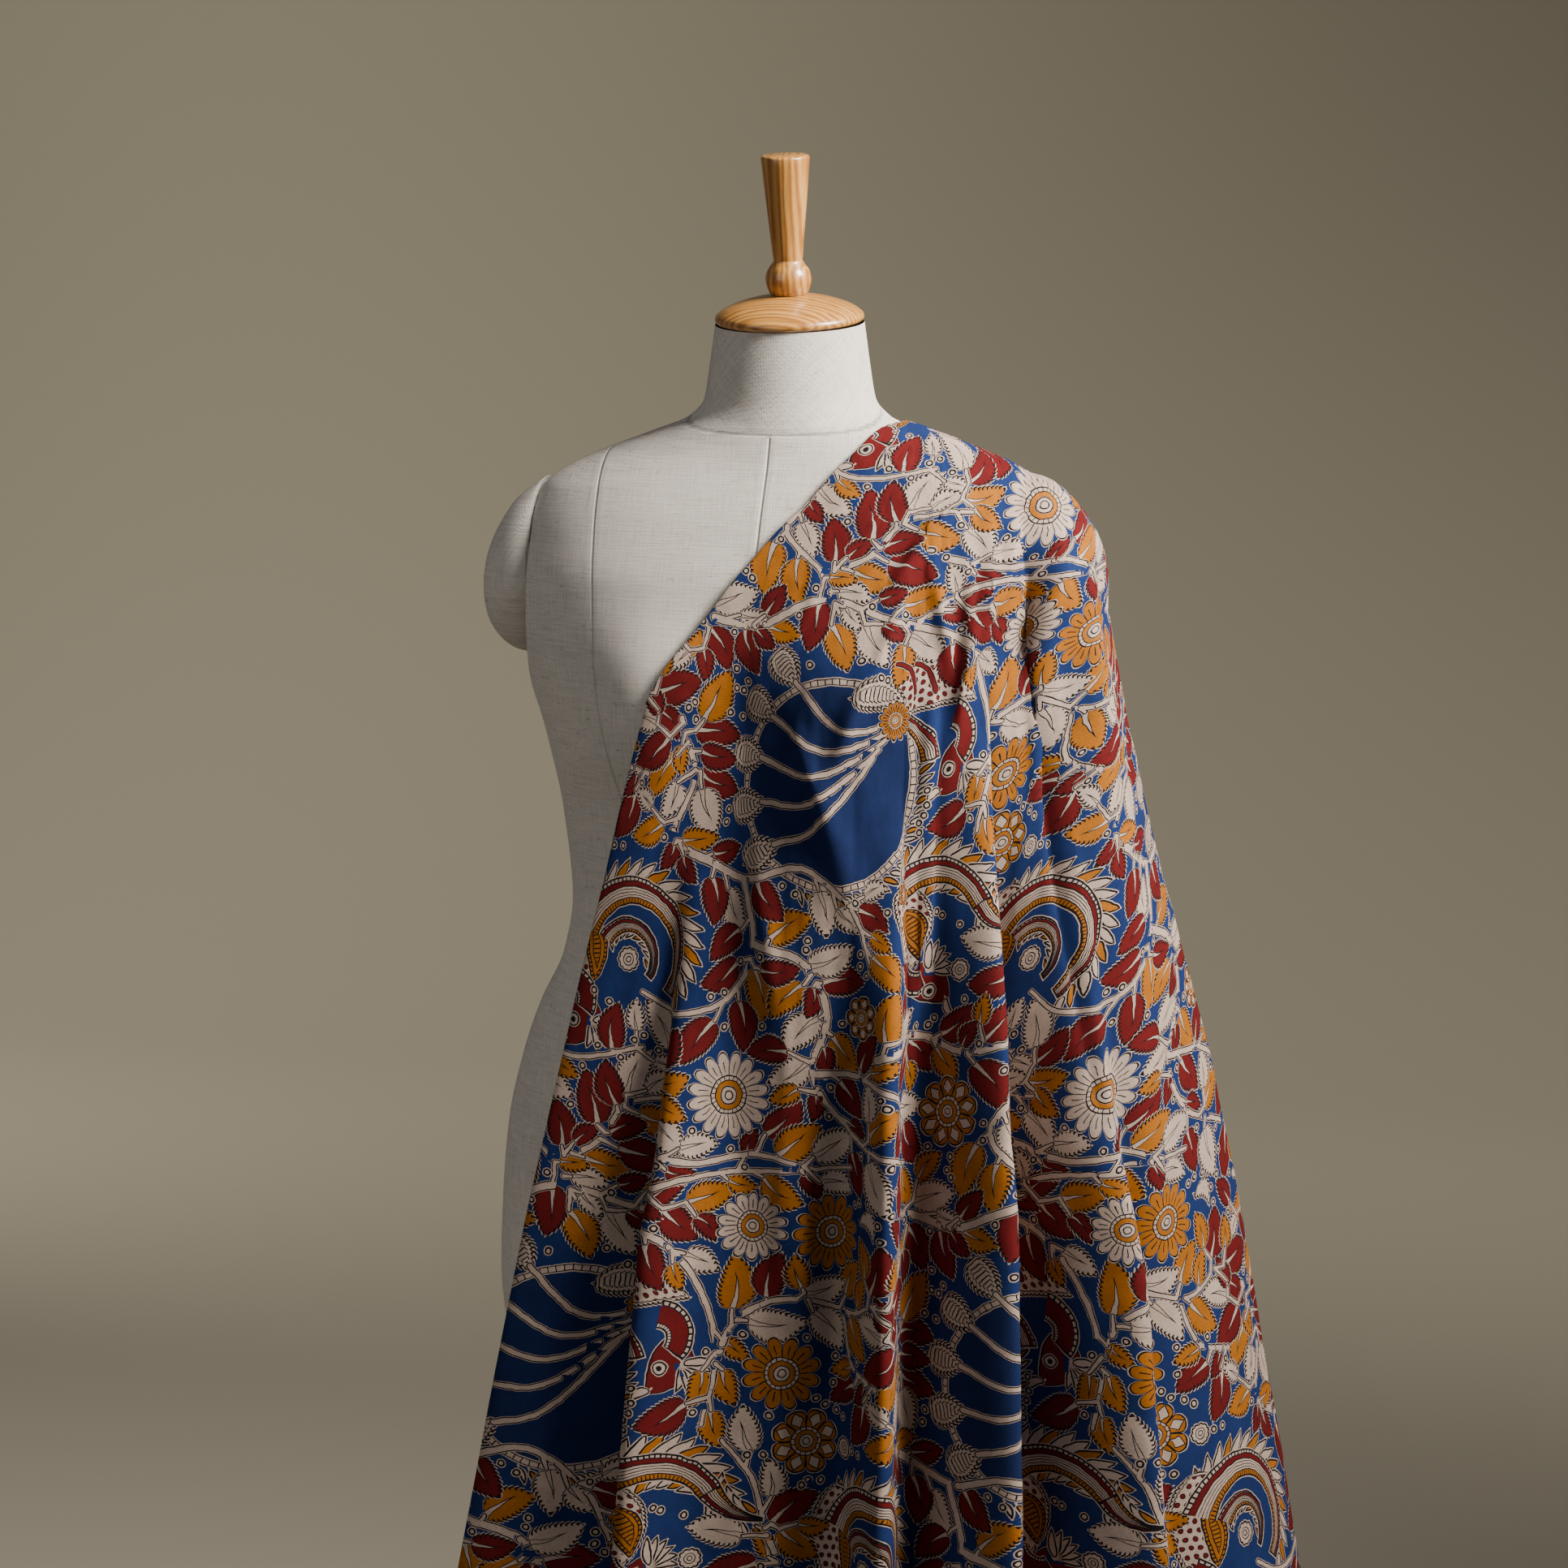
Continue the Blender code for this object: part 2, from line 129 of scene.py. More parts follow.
@dataclass
class Dye:
    """Builds one material's nodes."""

    name: str
    material: bpy.types.Material = field(init=False)
    tree: bpy.types.NodeTree = field(init=False)
    shader: bpy.types.Node = field(init=False)

    def __post_init__(self) -> None:
        """Start the material with its Principled shader."""
        self.material = bpy.data.materials.new(self.name)
        self.material.use_nodes = True
        self.tree = self.material.node_tree
        self.shader = self.tree.nodes["Principled BSDF"]

    def node(self, kind: str, sockets: dict[Any, Any] | None = None, **settings: Any) -> bpy.types.Node:
        """Add a node.

        Args:
            kind: Its type, without the ShaderNode prefix.
            sockets: Values, inks, signals or sockets for its inputs.
            settings: Its own settings.

        Returns:
            The node.
        """
        made = self.tree.nodes.new("ShaderNode" + kind)
        for name, value in settings.items():
            setattr(made, name, value)
        for name, value in (sockets or {}).items():
            self.feed(made.inputs[name], value)
        return made

    def feed(self, socket: bpy.types.NodeSocket, value: Any) -> None:
        """Set or link one input."""
        if isinstance(value, Signal):
            value = value.socket
        if isinstance(value, Ink):
            value = INK_COLOURS[value]
        if isinstance(value, bpy.types.NodeSocket):
            self.tree.links.new(value, socket)
        elif socket.type == "RGBA":
            socket.default_value = (*value, 1.0)
        else:
            socket.default_value = value

    def read(self, name: str) -> bpy.types.Node:
        """A node that reads an attribute of the mesh."""
        return self.node("Attribute", attribute_type="GEOMETRY", attribute_name=name)

    def attribute(self, name: str) -> tuple[Signal, Signal, Signal]:
        """The three numbers of a vector attribute of the mesh."""
        parts = self.node("SeparateXYZ", {0: self.read(name).outputs["Vector"]})
        return tuple(Signal(self.tree, parts.outputs[axis]) for axis in "XYZ")

    def number(self, name: str) -> Signal:
        """A number attribute of the mesh."""
        return Signal(self.tree, self.read(name).outputs["Fac"])

    def mix(self, share: Any, first: Any, second: Any, blend: str = "MIX") -> bpy.types.NodeSocket:
        """Blend two colours."""
        sockets = {0: share, 6: first, 7: second}
        return self.node("Mix", sockets, data_type="RGBA", blend_type=blend).outputs[2]

    def ramp(self, share: Signal, stops: Sequence[tuple[float, Colour]], steps: bool = False) -> Any:
        """A colour ramp, smooth or in steps."""
        made = self.node("ValToRGB", {0: share})
        ramp = made.color_ramp
        ramp.interpolation = "CONSTANT" if steps else "LINEAR"
        while len(ramp.elements) < len(stops):
            ramp.elements.new(0.5)
        for element, (place, colour) in zip(ramp.elements, stops):
            element.position = place
            element.color = (*colour, 1.0)
        return made.outputs["Color"]

    def shade(self, colour: Any, share: Signal, dark: Place, light: Place) -> Any:
        """Darken and lighten a colour by a signal; each end is a place and a factor."""
        stops = [(place, (factor,) * 3) for place, factor in (dark, light)]
        return self.mix(1.0, colour, self.ramp(share, stops), "MULTIPLY")

    def noise(self, place: Any, scale: float, detail: float = 2.0, rough: float = 0.5) -> Signal:
        """Noise at a place, in features per unit."""
        sockets = {"Vector": place, "Scale": scale, "Detail": detail, "Roughness": rough}
        return Signal(self.tree, self.node("TexNoise", sockets).outputs["Fac"])

    def combine(self, x: Any, y: Any, z: Any = 0.0) -> bpy.types.NodeSocket:
        """A vector from three numbers."""
        return self.node("CombineXYZ", {0: x, 1: y, 2: z}).outputs[0]

    def bump(self, height: Signal, distance: float, strength: float = 1.0) -> None:
        """Feed the shader's normal from a height in metres."""
        made = self.node("Bump", {"Height": height, "Distance": distance, "Strength": strength})
        self.feed(self.shader.inputs["Normal"], made.outputs["Normal"])

    def finish(self, colour: Any, roughness: Any, **fixed: float) -> bpy.types.Material:
        """Feed the shader.

        Args:
            colour: A colour or a socket.
            roughness: A number or a signal.
            fixed: Other sockets, by name with _ for a space, set to numbers.

        Returns:
            The material.
        """
        self.feed(self.shader.inputs["Base Color"], colour)
        self.feed(self.shader.inputs["Roughness"], roughness)
        for name, value in fixed.items():
            self.feed(self.shader.inputs[name.replace("_", " ")], value)
        return self.material


class Ink(IntEnum):
    """The print's colours."""

    CREAM = 0
    RED = 1
    OCHRE = 2
    NAVY = 3
    BLACK = 4
    BLUE = 5


INK_COLOURS: dict[Ink, tuple[float, float, float]] = {
    Ink.CREAM: (0.385, 0.288, 0.228),
    Ink.RED: (0.098, 0.0036, 0.0040),
    Ink.OCHRE: (0.285, 0.092, 0.005),
    Ink.NAVY: (0.0050, 0.0135, 0.060),
    Ink.BLACK: (0.0050, 0.0036, 0.0044),
    Ink.BLUE: (0.0062, 0.0185, 0.082),
}


class Round(IntEnum):
    """Kinds of round motif."""

    DOT = 0
    ROSETTE = 1
    SUNFLOWER = 2
    HEART_FLOWER = 3
    FAN = 4
    EYE = 5


class Pattern(IntEnum):
    """How a leaf shape is filled."""

    PLAIN = 0
    VEIN = 1
    SCALES = 2
    RINGS = 3


class Leaf(NamedTuple):
    """A leaf, petal, body or teardrop: base point, direction, size, bend, teeth and fill."""

    u: float
    w: float
    angle: float
    length: float
    half_width: float
    bend: float = 0.0
    teeth: float = 0.0
    ink: Ink = Ink.CREAM
    pattern: Pattern = Pattern.PLAIN


class Stroke(NamedTuple):
    """A straight stretch of a stem with its half width at both ends."""

    u: float
    w: float
    to_u: float
    to_w: float
    radius: float
    to_radius: float
    ink: Ink = Ink.CREAM


class Disc(NamedTuple):
    """A round motif."""

    u: float
    w: float
    radius: float
    kind: Round
    petals: int = 12
    ink: Ink = Ink.CREAM


def polar(u: float, w: float, angle: float, reach: float) -> Place:
    """A place at a direction and distance from another."""
    return u + reach * cos(angle), w + reach * sin(angle)


class Arc(NamedTuple):
    """A striped band along a circle, such as a tail or a neck."""

    u: float
    w: float
    radius: float
    start: float
    sweep: float
    thick: float
    thin: float
    stripes: int = 0

    def point(self, share: float, out: float = 0.0) -> Place:
        """A point along the band, moved outward from its middle."""
        return polar(self.u, self.w, self.start + self.sweep * share, self.radius + out)


def band(
    u: float, w: float, radius: float, start: float, sweep: float, thick: float, thin: float, stripes: int = 0
) -> Arc:
    """A band whose start and sweep are given in degrees."""
    return Arc(u, w, radius, radians(start), radians(sweep), thick, thin, stripes)


STEMS: tuple[tuple[float, tuple[Place, ...]], ...] = (
    (3.8, ((40, 408), (95, 400), (150, 420), (215, 402), (262, 428), (330, 436), (400, 440))),
    (3.3, ((215, 402), (262, 388), (292, 350), (304, 300), (296, 252))),
    (3.0, ((304, 300), (318, 330), (352, 345), (400, 335), (440, 350))),
    (2.6, ((440, 290), (406, 300), (392, 330))),
    (3.6, ((40, 236), (92, 216), (140, 226), (178, 198), (196, 160))),
    (3.4, ((92, 216), (104, 170), (82, 130), (36, 118), (4, 132))),
    (3.6, ((104, 170), (142, 158), (160, 120), (148, 78), (176, 38), (228, 22), (262, 14))),
    (3.0, ((148, 78), (200, 76), (236, 60), (250, 40))),
    (3.6, ((210, 92), (256, 106), (306, 96), (346, 104), (384, 84), (440, 92))),
    (3.4, ((346, 104), (350, 70), (338, 40), (366, 8), (380, -20))),
    (3.0, ((366, 8), (400, 22), (424, 50), (470, 56))),
    (3.2, ((20, 20), (62, 12), (110, 18), (150, 8))),
    (3.0, ((30, 330), (44, 290), (30, 250), (40, 236))),
    (2.8, ((350, 150), (340, 180), (330, 214), (310, 240))),
)

FLOWERS = (
    Disc(85.0, 60.0, 32.0, Round.SUNFLOWER, 16, Ink.CREAM),
    Disc(381.0, 392.0, 28.0, Round.SUNFLOWER, 13, Ink.OCHRE),
    Disc(325.0, 396.0, 25.0, Round.SUNFLOWER, 14, Ink.CREAM),
    Disc(348.0, 290.0, 27.0, Round.SUNFLOWER, 12, Ink.OCHRE),
    Disc(366.0, 240.0, 24.0, Round.HEART_FLOWER, 8, Ink.OCHRE),
    Disc(190.0, 120.0, 16.0, Round.HEART_FLOWER, 7, Ink.OCHRE),
    Disc(300.0, 52.0, 26.0, Round.HEART_FLOWER, 9, Ink.OCHRE),
)


@dataclass
class PrintBlock:
    """One repeat of the print, laid out from given places, with gaps filled by small leaves."""

    width: float = 440.0
    height: float = 430.0
    row_shift: float = 220.0
    seed: int = 7
    leaf_inks: tuple[Ink, ...] = (Ink.RED,) * 6 + (Ink.OCHRE,) * 4 + (Ink.CREAM,) * 3
    leaf_slimness: float = 0.325
    leaf_spots: tuple[Place, ...] = ((0.30, 0.26), (0.54, 0.28), (0.80, 0.16))
    stem_tip: float = 2.0
    bud_room: float = 2.6
    stalk: Place = (2.2, 1.7)
    leaves: list[Leaf] = field(default_factory=list)
    strokes: list[Stroke] = field(default_factory=list)
    discs: list[Disc] = field(default_factory=list)
    arcs: list[Arc] = field(default_factory=list)
    buds: list[tuple[float, float, float]] = field(default_factory=list)
    space: np.ndarray = field(default_factory=lambda: np.zeros((0, 3)))

    def take(self, *circles: tuple[float, float, float]) -> None:
        """Count circles as taken, over the block's repeats."""
        rows = [
            (u + row * self.row_shift, w + row * self.height, radius)
            for u, w, radius in circles
            for row in (-1, 0, 1)
        ]
        self.space = np.vstack([self.space, rows])

    def take_near(self, u: float, w: float, *circles: tuple[float, float, float]) -> None:
        """Count circles as taken, each given by its place beside u, w."""
        self.take(*((u + du, w + dw, radius) for du, dw, radius in circles))

    def is_free(self, u: float, w: float, radius: float, slack: float = 0.0) -> bool:
        """Whether a circle is clear of all that is laid, but for a slack."""
        du = self.space[:, 0] - u
        du = du - self.width * np.round(du / self.width)
        apart = np.hypot(du, self.space[:, 1] - w)
        return not bool(np.any(apart < radius + self.space[:, 2] - slack))

    def stem(
        self, points: Sequence[Place], thick: float, thin: float, ink: Ink = Ink.CREAM, steps: int = 5
    ) -> np.ndarray:
        """Lay a smooth stem through some points, from its root to its tip.

        Returns:
            Rows of places along it.
        """
        rail = np.array(points, float)
        line = spline(rail, np.linspace(0.0, len(rail) - 1, (len(rail) - 1) * steps + 1))
        widths = np.linspace(thick, thin, len(line))
        for a, b, ra, rb in zip(line, line[1:], widths, widths[1:]):
            self.strokes.append(Stroke(*a, *b, ra, rb, ink))
        return line

    def leafy_stem(self, points: Sequence[Place], thick: float) -> None:
        """Lay a stem and note its buds."""
        line = self.stem(points, thick, self.stem_tip, steps=6)
        for a, b in zip(line, line[1:]):
            u, w = (a + b) / 2
            self.buds.append((u, w, atan2(b[1] - a[1], b[0] - a[0])))
            self.take((u, w, self.bud_room))

    def add_leaf(self, u: float, w: float, angle: float, length: float, ink: Ink, slack: float) -> bool:
        """Lay a toothed leaf, unless it would cross what is there.

        Returns:
            Whether it was laid.
        """
        spots = [(*polar(u, w, angle, length * s), length * r) for s, r in self.leaf_spots]
        if not all(self.is_free(*spot, slack) for spot in spots):
            return False
        bend, half = 0.10 * cos(angle * 3.0 + u), length * self.leaf_slimness
        self.leaves.append(Leaf(u, w, angle, length, half, bend, 1.0, ink, Pattern.VEIN))
        self.take(*spots)
        return True

    def grow(self, rng: random.Random, tries: int, length: float, slack: float) -> None:
        """Grow leaves on short stalks from the stems' buds, twigs from leaves included."""
        for _ in range(tries):
            u, w, heading = self.buds[rng.randrange(len(self.buds))]
            side = rng.choice((-1.0, 1.0))
            away = heading + side * rng.uniform(0.45, 1.35)
            base = polar(u, w, away, rng.uniform(2.0, 17.0))
            angle = away - side * rng.uniform(-0.25, 0.6)
            size = length * rng.uniform(0.88, 1.12)
            if self.add_leaf(*base, angle, size, rng.choice(self.leaf_inks), slack):
                self.strokes.append(Stroke(u, w, *base, *self.stalk))
                self.buds.append((*base, away))

    def scrolls(self, rng: random.Random, tries: int, room: float, inks: Sequence[Ink]) -> None:
        """Lay curled commas with toothed backs where a circle is free."""
        for _ in range(tries):
            u, w, angle = (rng.uniform(0, most) for most in (self.width, self.height, tau))
            middle = polar(u, w, angle, 12.0)
            if self.is_free(*middle, room, 2.0):
                self.leaves.append(Leaf(u, w, angle, 24.0, 7.5, 0.40, 0.9, rng.choice(inks)))
                self.take((*middle, 11))

    def disc(self, *disc: Any) -> None:
        """Lay a round motif and take its space."""
        self.discs.append(Disc(*disc))
        self.take(disc[:3])

    def fringe(
        self, arc: Arc, out: float, length: float, count: int, lean: float, slim: float = 0.19
    ) -> None:
        """Lay a row of long petals along one side of a band."""
        side, turn = copysign(1.0, out), copysign(1.0, arc.sweep)
        for k in range(count):
            share = (k + 0.5) / count
            base = arc.point(share, out * (1.0 - 0.35 * share))
            outward = arc.start + arc.sweep * share + (0.0 if side > 0 else pi)
            angle = outward + side * turn * lean
            ink = Ink.OCHRE if k % 3 == 1 else Ink.CREAM
            size = length * (1.0 - 0.35 * abs(share - 0.45))
            self.leaves.append(Leaf(*base, angle, size, size * slim, 0.06 * turn, 0.0, ink))

    def head(self, u: float, w: float, angle: float) -> None:
        """A red drop-shaped head with its eye, beak and crest."""

        def at(along: float, beside: float) -> Place:
            """A place on the head."""
            return polar(*polar(u, w, angle, along), angle + pi / 2, beside)

        self.leaves.append(Leaf(u, w, angle, 44.0, 15.5, 0.10, 0.0, Ink.RED))
        for k in range(6):
            self.leaves.append(Leaf(*at(15, 12), angle + 0.25 + 0.36 * k, 21.0, 3.6, 0.05))
        self.leaves.append(Leaf(*at(40, 0), angle - 0.5, 15.0, 3.6, -0.15))
        self.discs.append(Disc(*at(24, -2), 5.2, Round.EYE))
        self.take((*at(20, 0), 21), (*at(38, 0), 10))

    def fan_bird(self, u: float, w: float) -> None:
        """A bird with a dark fan tail, ribs and beaded eyes; u, w is where the ribs meet."""
        self.discs.append(Disc(u - 52, w - 44, 76, Round.FAN, 82, Ink.NAVY))
        for k in range(5):
            turn = radians(133.0 + 20.0 * k)
            root, end = (u - 2 - 5 * k, w - 6 * k), polar(u - 22, w - 38, turn, 91)
            middle = ((root[0] + end[0]) / 2 - 4, (root[1] + end[1]) / 2 - 19)
            self.stem([root, middle, end], 2.3, 2.6)
            eye = (*polar(*end, turn, 30), turn + pi, 33.0, 12.6, 0.0, 1.2)
            self.leaves.append(Leaf(*eye, Ink.CREAM, Pattern.RINGS))
            self.take((*polar(*end, turn, 14), 16))
        self.fringe(band(u - 52, w - 44, 76.0, -112, 125, 1.0, 1.0), 3.0, 15.0, 24, 0.7, 0.17)
        self.leaves += [
            Leaf(u - 14, w + 10, radians(4), 84.0, 21.0, 0.20, 0.6, Ink.CREAM, Pattern.SCALES),
            Leaf(u - 40, w + 18, radians(-4), 46.0, 12.0, 0.1, 1.0, Ink.CREAM, Pattern.RINGS),
        ]
        neck = band(u + 46, w - 12, 18.0, 80, -120, 10.5, 9.0, 1)
        self.arcs += [neck, band(u - 2, w - 34, 36.0, 100, -88, 5.0, 8.0)]
        self.disc(u - 4, w + 2, 15.0, Round.SUNFLOWER, 14, Ink.OCHRE)
        end = neck.point(1.0)
        self.head(end[0] + 4, end[1] + 10, radians(-118))
        for lean in (0.0, 17.0):
            leg = [(u + 14 + lean, w + 22), (u + 6 + lean, w + 38), (u - 6 + lean, w + 42)]
            self.stem(leg, 2.4, 2.0, Ink.RED, 2)
        self.take_near(u, w, (-52, -44, 79), (18, 10, 28), (50, -4, 27), (56, -30, 22), (-30, 18, 14))

    def plume_bird(self, u: float, w: float) -> None:
        """A bird with a sweeping plume; u, w is the tail's root."""
        first = band(u + 38, w - 28, 47.0, 143, -112, 11.0, 8.5)
        centre = polar(*first.point(1.0), first.start + first.sweep, 38.0)
        second = band(*centre, 38.0, 211, 62, 8.5, 1.5)
        self.fringe(first, 8.0, 26.0, 12, 0.95)
        self.fringe(first, -7.0, 20.0, 9, -0.75)
        self.fringe(second, -6.0, 17.0, 5, -0.9)
        self.fringe(second, 6.0, 15.0, 4, 0.9)
        self.arcs += [first, second, band(u + 26, w - 46, 17.0, 185, 115, 8.5, 8.5, 1)]
        self.leaves += [
            Leaf(u - 2, w + 8, radians(-74), 68.0, 21.0, 0.13, 0.6, Ink.CREAM, Pattern.SCALES),
            Leaf(u + 4, w - 12, radians(-58), 40.0, 12.5, 0.2, 0.0, Ink.OCHRE, Pattern.RINGS),
        ]
        self.head(u + 20, w - 58, radians(-22))
        self.disc(u + 2, w + 2, 10.0, Round.SUNFLOWER, 12, Ink.OCHRE)
        self.take_near(u, w, (4, 8, 22), (24, 16, 26), (50, 18, 26), (76, 4, 24), (100, -10, 16))
        self.take_near(u, w, (10, -26, 26), (34, -44, 24))

    def arch_bird(self, u: float, w: float) -> None:
        """A bird looking down under the arch of its tail; u, w is the tail's root."""
        outer = band(u + 36, w - 34, 44.0, 160, -205, 13.0, 5.0)
        inner = band(u + 34, w - 38, 23.0, 150, -190, 7.0, 3.0)
        self.fringe(outer, 10.0, 22.0, 18, 0.95)
        self.fringe(inner, -4.0, 11.0, 8, -0.7)
        self.arcs += [outer, inner, band(u - 16, w - 70, 15.0, 70, -100, 9.0, 8.5, 1)]
        self.disc(u + 35, w - 40, 9.0, Round.ROSETTE, 11, Ink.CREAM)
        self.leaves += [
            Leaf(u - 3, w + 14, radians(-92), 84.0, 19.0, -0.06, 0.6, Ink.CREAM, Pattern.SCALES),
            Leaf(u, w - 14, radians(-84), 44.0, 10.0, 0.1, 0.0, Ink.OCHRE, Pattern.RINGS),
        ]
        self.head(u + 2, w - 66, radians(-122))
        self.take_near(u, w, (0, 4, 20), (20, 12, 22), (44, 14, 24), (70, 2, 24))
        self.take_near(u, w, (86, -28, 24), (80, -58, 20), (0, -36, 20), (36, -38, 34))

    def lay(self) -> None:
        """Lay out the whole repeat, then fill its gaps with leaves, scrolls, rosettes and dots."""
        self.fan_bird(215.0, 330.0)
        self.plume_bird(226.0, 206.0)
        self.arch_bird(398.0, 196.0)
        for flower in FLOWERS:
            self.disc(*flower)
        for thick, points in STEMS:
            self.leafy_stem(points, thick)
        rng = random.Random(self.seed)
        self.grow(rng, 3000, 38.0, 2.0)
        self.scrolls(rng, 420, 12.0, (Ink.OCHRE, Ink.CREAM, Ink.CREAM, Ink.RED))
        self.grow(rng, 5000, 32.0, 2.8)
        self.grow(rng, 6000, 25.0, 2.8)
        self.scrolls(rng, 1200, 10.0, (Ink.OCHRE, Ink.CREAM, Ink.RED))
        for radius, kind, tries in ((8.0, Round.ROSETTE, 1500), (2.7, Round.DOT, 2500)):
            for _ in range(tries):
                u, w = rng.uniform(0, self.width), rng.uniform(0, self.height)
                if self.is_free(u, w, radius + 0.5):
                    self.disc(u, w, radius, kind, 11, Ink.CREAM)


SLOTS = {"stroke": 3, "leaf": 5, "arc": 2, "disc": 2, "fan": 1}


@dataclass
class FaceSlots:
    """Slots on each face of a mesh for the motifs that lie there."""

    name: str
    faces: int
    width: int
    blank: tuple[int, float] = (0, 0.0)
    rows: np.ndarray = field(init=False)
    used: np.ndarray = field(init=False)

    def __post_init__(self) -> None:
        """Start with blank slots."""
        self.rows = np.zeros((self.faces, SLOTS[self.name], self.width), np.float32)
        self.rows[:, :, self.blank[0]] = self.blank[1]
        self.used = np.zeros(self.faces, int)

    def place(self, hit: np.ndarray, row: Sequence[float]) -> None:
        """Put a motif in the next slot of each face; a full face drops its oldest."""
        full = hit[self.used[hit] >= SLOTS[self.name]]
        self.rows[full, :-1] = self.rows[full, 1:]
        self.rows[full, -1] = row
        free = hit[self.used[hit] < SLOTS[self.name]]
        self.rows[free, self.used[free]] = row
        self.used[free] += 1

    def store(self, mesh: bpy.types.Mesh) -> None:
        """Write the slots as face attributes of three numbers or of one."""
        for slot in range(SLOTS[self.name]):
            for letter, start in zip("abc", range(0, self.width, 3)):
                data = self.rows[:, slot, start : start + 3]
                kind, value = ("FLOAT_VECTOR", "vector") if data.shape[1] == 3 else ("FLOAT", "value")
                made = mesh.attributes.new(f"{self.name}{slot}{letter}", kind, "FACE")
                made.data.foreach_set(value, data.ravel())


@dataclass
class PrintMap:
    """Writes on each face of the cloth which motifs of the print lie there."""

    block: PrintBlock
    centres: np.ndarray
    reach: np.ndarray
    stroke_edge: float = 1.6
    shape_edge: float = 2.0
    margin: float = 90.0
    far: float = -9999.0
    most: float = field(init=False)
    order: np.ndarray = field(init=False)
    rows: np.ndarray = field(init=False)

    def __post_init__(self) -> None:
        """Sort the faces by their height on the print."""
        self.order = np.argsort(self.centres[:, 1])
        self.rows = self.centres[self.order, 1]
        self.most = float(self.reach.max())

    def repeats(self) -> list[Place]:
        """Offsets of every repeat of the block that reaches the cloth."""
        b = self.block
        low, high = self.centres.min(axis=0), self.centres.max(axis=0)
        found = []
        for row in range(floor(low[1] / b.height) - 1, ceil(high[1] / b.height) + 1):
            shift = row * b.row_shift
            first, last = floor((low[0] - shift) / b.width) - 1, ceil((high[0] - shift) / b.width) + 1
            found += [(shift + k * b.width, row * b.height) for k in range(first, last)]
        return found

    def copies(self, motifs: Iterable[Any]) -> list[Any]:
        """Every repeat of the motifs near the cloth, in the order in which they are printed."""
        low, high = self.centres.min(axis=0) - self.margin, self.centres.max(axis=0) + self.margin
        found, offsets = [], self.repeats()
        for motif in motifs:
            for du, dw in offsets:
                moved = {"u": motif.u + du, "w": motif.w + dw}
                if low[0] < moved["u"] < high[0] and low[1] < moved["w"] < high[1]:
                    if isinstance(motif, Stroke):
                        moved.update(to_u=motif.to_u + du, to_w=motif.to_w + dw)
                    found.append(motif._replace(**moved))
        return found

    def around(self, u: float, w: float, wide: float) -> np.ndarray:
        """Faces that may reach within a distance of a place."""
        wide += self.most
        faces = self.order[np.searchsorted(self.rows, w - wide) : np.searchsorted(self.rows, w + wide)]
        return faces[np.abs(self.centres[faces, 0] - u) < wide]

    def on_stroke(self, s: Stroke) -> tuple[np.ndarray, Sequence[float]]:
        """The faces under a stroke, and its row."""
        wide = max(s.radius, s.to_radius) + self.stroke_edge
        half = hypot(s.to_u - s.u, s.to_w - s.w) / 2
        near = self.around((s.u + s.to_u) / 2, (s.w + s.to_w) / 2, half + wide)
        a, b = np.array((s.u, s.w)), np.array((s.to_u, s.to_w))
        places = self.centres[near] - a
        along = np.clip((places @ (b - a)) / max(1e-6, (b - a) @ (b - a)), 0, 1)
        apart = np.linalg.norm(places - along[:, None] * (b - a), axis=1)
        row = (s.u, s.w, s.radius, s.to_u, s.to_w, s.to_radius, float(s.ink))
        return near[apart < wide + self.reach[near]], row

    def on_leaf(self, leaf: Leaf) -> tuple[np.ndarray, Sequence[float]]:
        """The faces under a leaf, and its row."""
        c, s = cos(leaf.angle), sin(leaf.angle)
        near = self.around(*polar(leaf.u, leaf.w, leaf.angle, leaf.length / 2), leaf.length * 0.72 + 6.0)
        du, dw = (self.centres[near] - (leaf.u, leaf.w)).T
        x = (du * c + dw * s) / leaf.length
        y = dw * c - du * s - leaf.bend * leaf.length * 4 * x * (1 - x) * ((x > -0.2) & (x < 1.2))
        inside = np.clip(x, 0.0, 1.0)
        half = leaf.half_width * 2.912 * inside**0.6 * (1 - inside) ** 0.8 + 2.2
        beyond = np.maximum(0.0, np.abs(x - 0.5) - 0.5) * leaf.length
        apart = np.hypot(np.maximum(np.abs(y) - half, 0.0), beyond)
        code = leaf.ink + 10.0 * leaf.pattern
        row = (leaf.u, leaf.w, leaf.length, c, s, leaf.half_width, leaf.bend, leaf.teeth, code)
        return near[apart < self.reach[near] + 1.0], row

    def on_arc(self, arc: Arc) -> tuple[np.ndarray, Sequence[float]]:
        """The faces under a band, and its row."""
        wide = max(arc.thick, arc.thin) + self.shape_edge
        near = self.around(arc.u, arc.w, arc.radius + wide)
        du, dw = (self.centres[near] - (arc.u, arc.w)).T
        turn = ((np.arctan2(dw, du) - arc.start) * copysign(1.0, arc.sweep) + 0.5) % tau - 0.5
        slop = (self.reach[near] + self.shape_edge) / arc.radius
        held = (turn > -slop) & (turn < abs(arc.sweep) + slop)
        off = np.abs(np.hypot(du, dw) - arc.radius)
        return near[held & (off < wide + self.reach[near])], (*arc, 0.0)

    def on_disc(self, disc: Disc) -> tuple[np.ndarray, Sequence[float]]:
        """The faces under a round motif, and its row."""
        wide = disc.radius * 1.05 + self.shape_edge
        near = self.around(disc.u, disc.w, wide)
        apart = np.linalg.norm(self.centres[near] - (disc.u, disc.w), axis=1)
        row = (disc.u, disc.w, disc.radius, disc.petals, disc.kind, disc.ink)
        return near[apart < wide + self.reach[near]], row

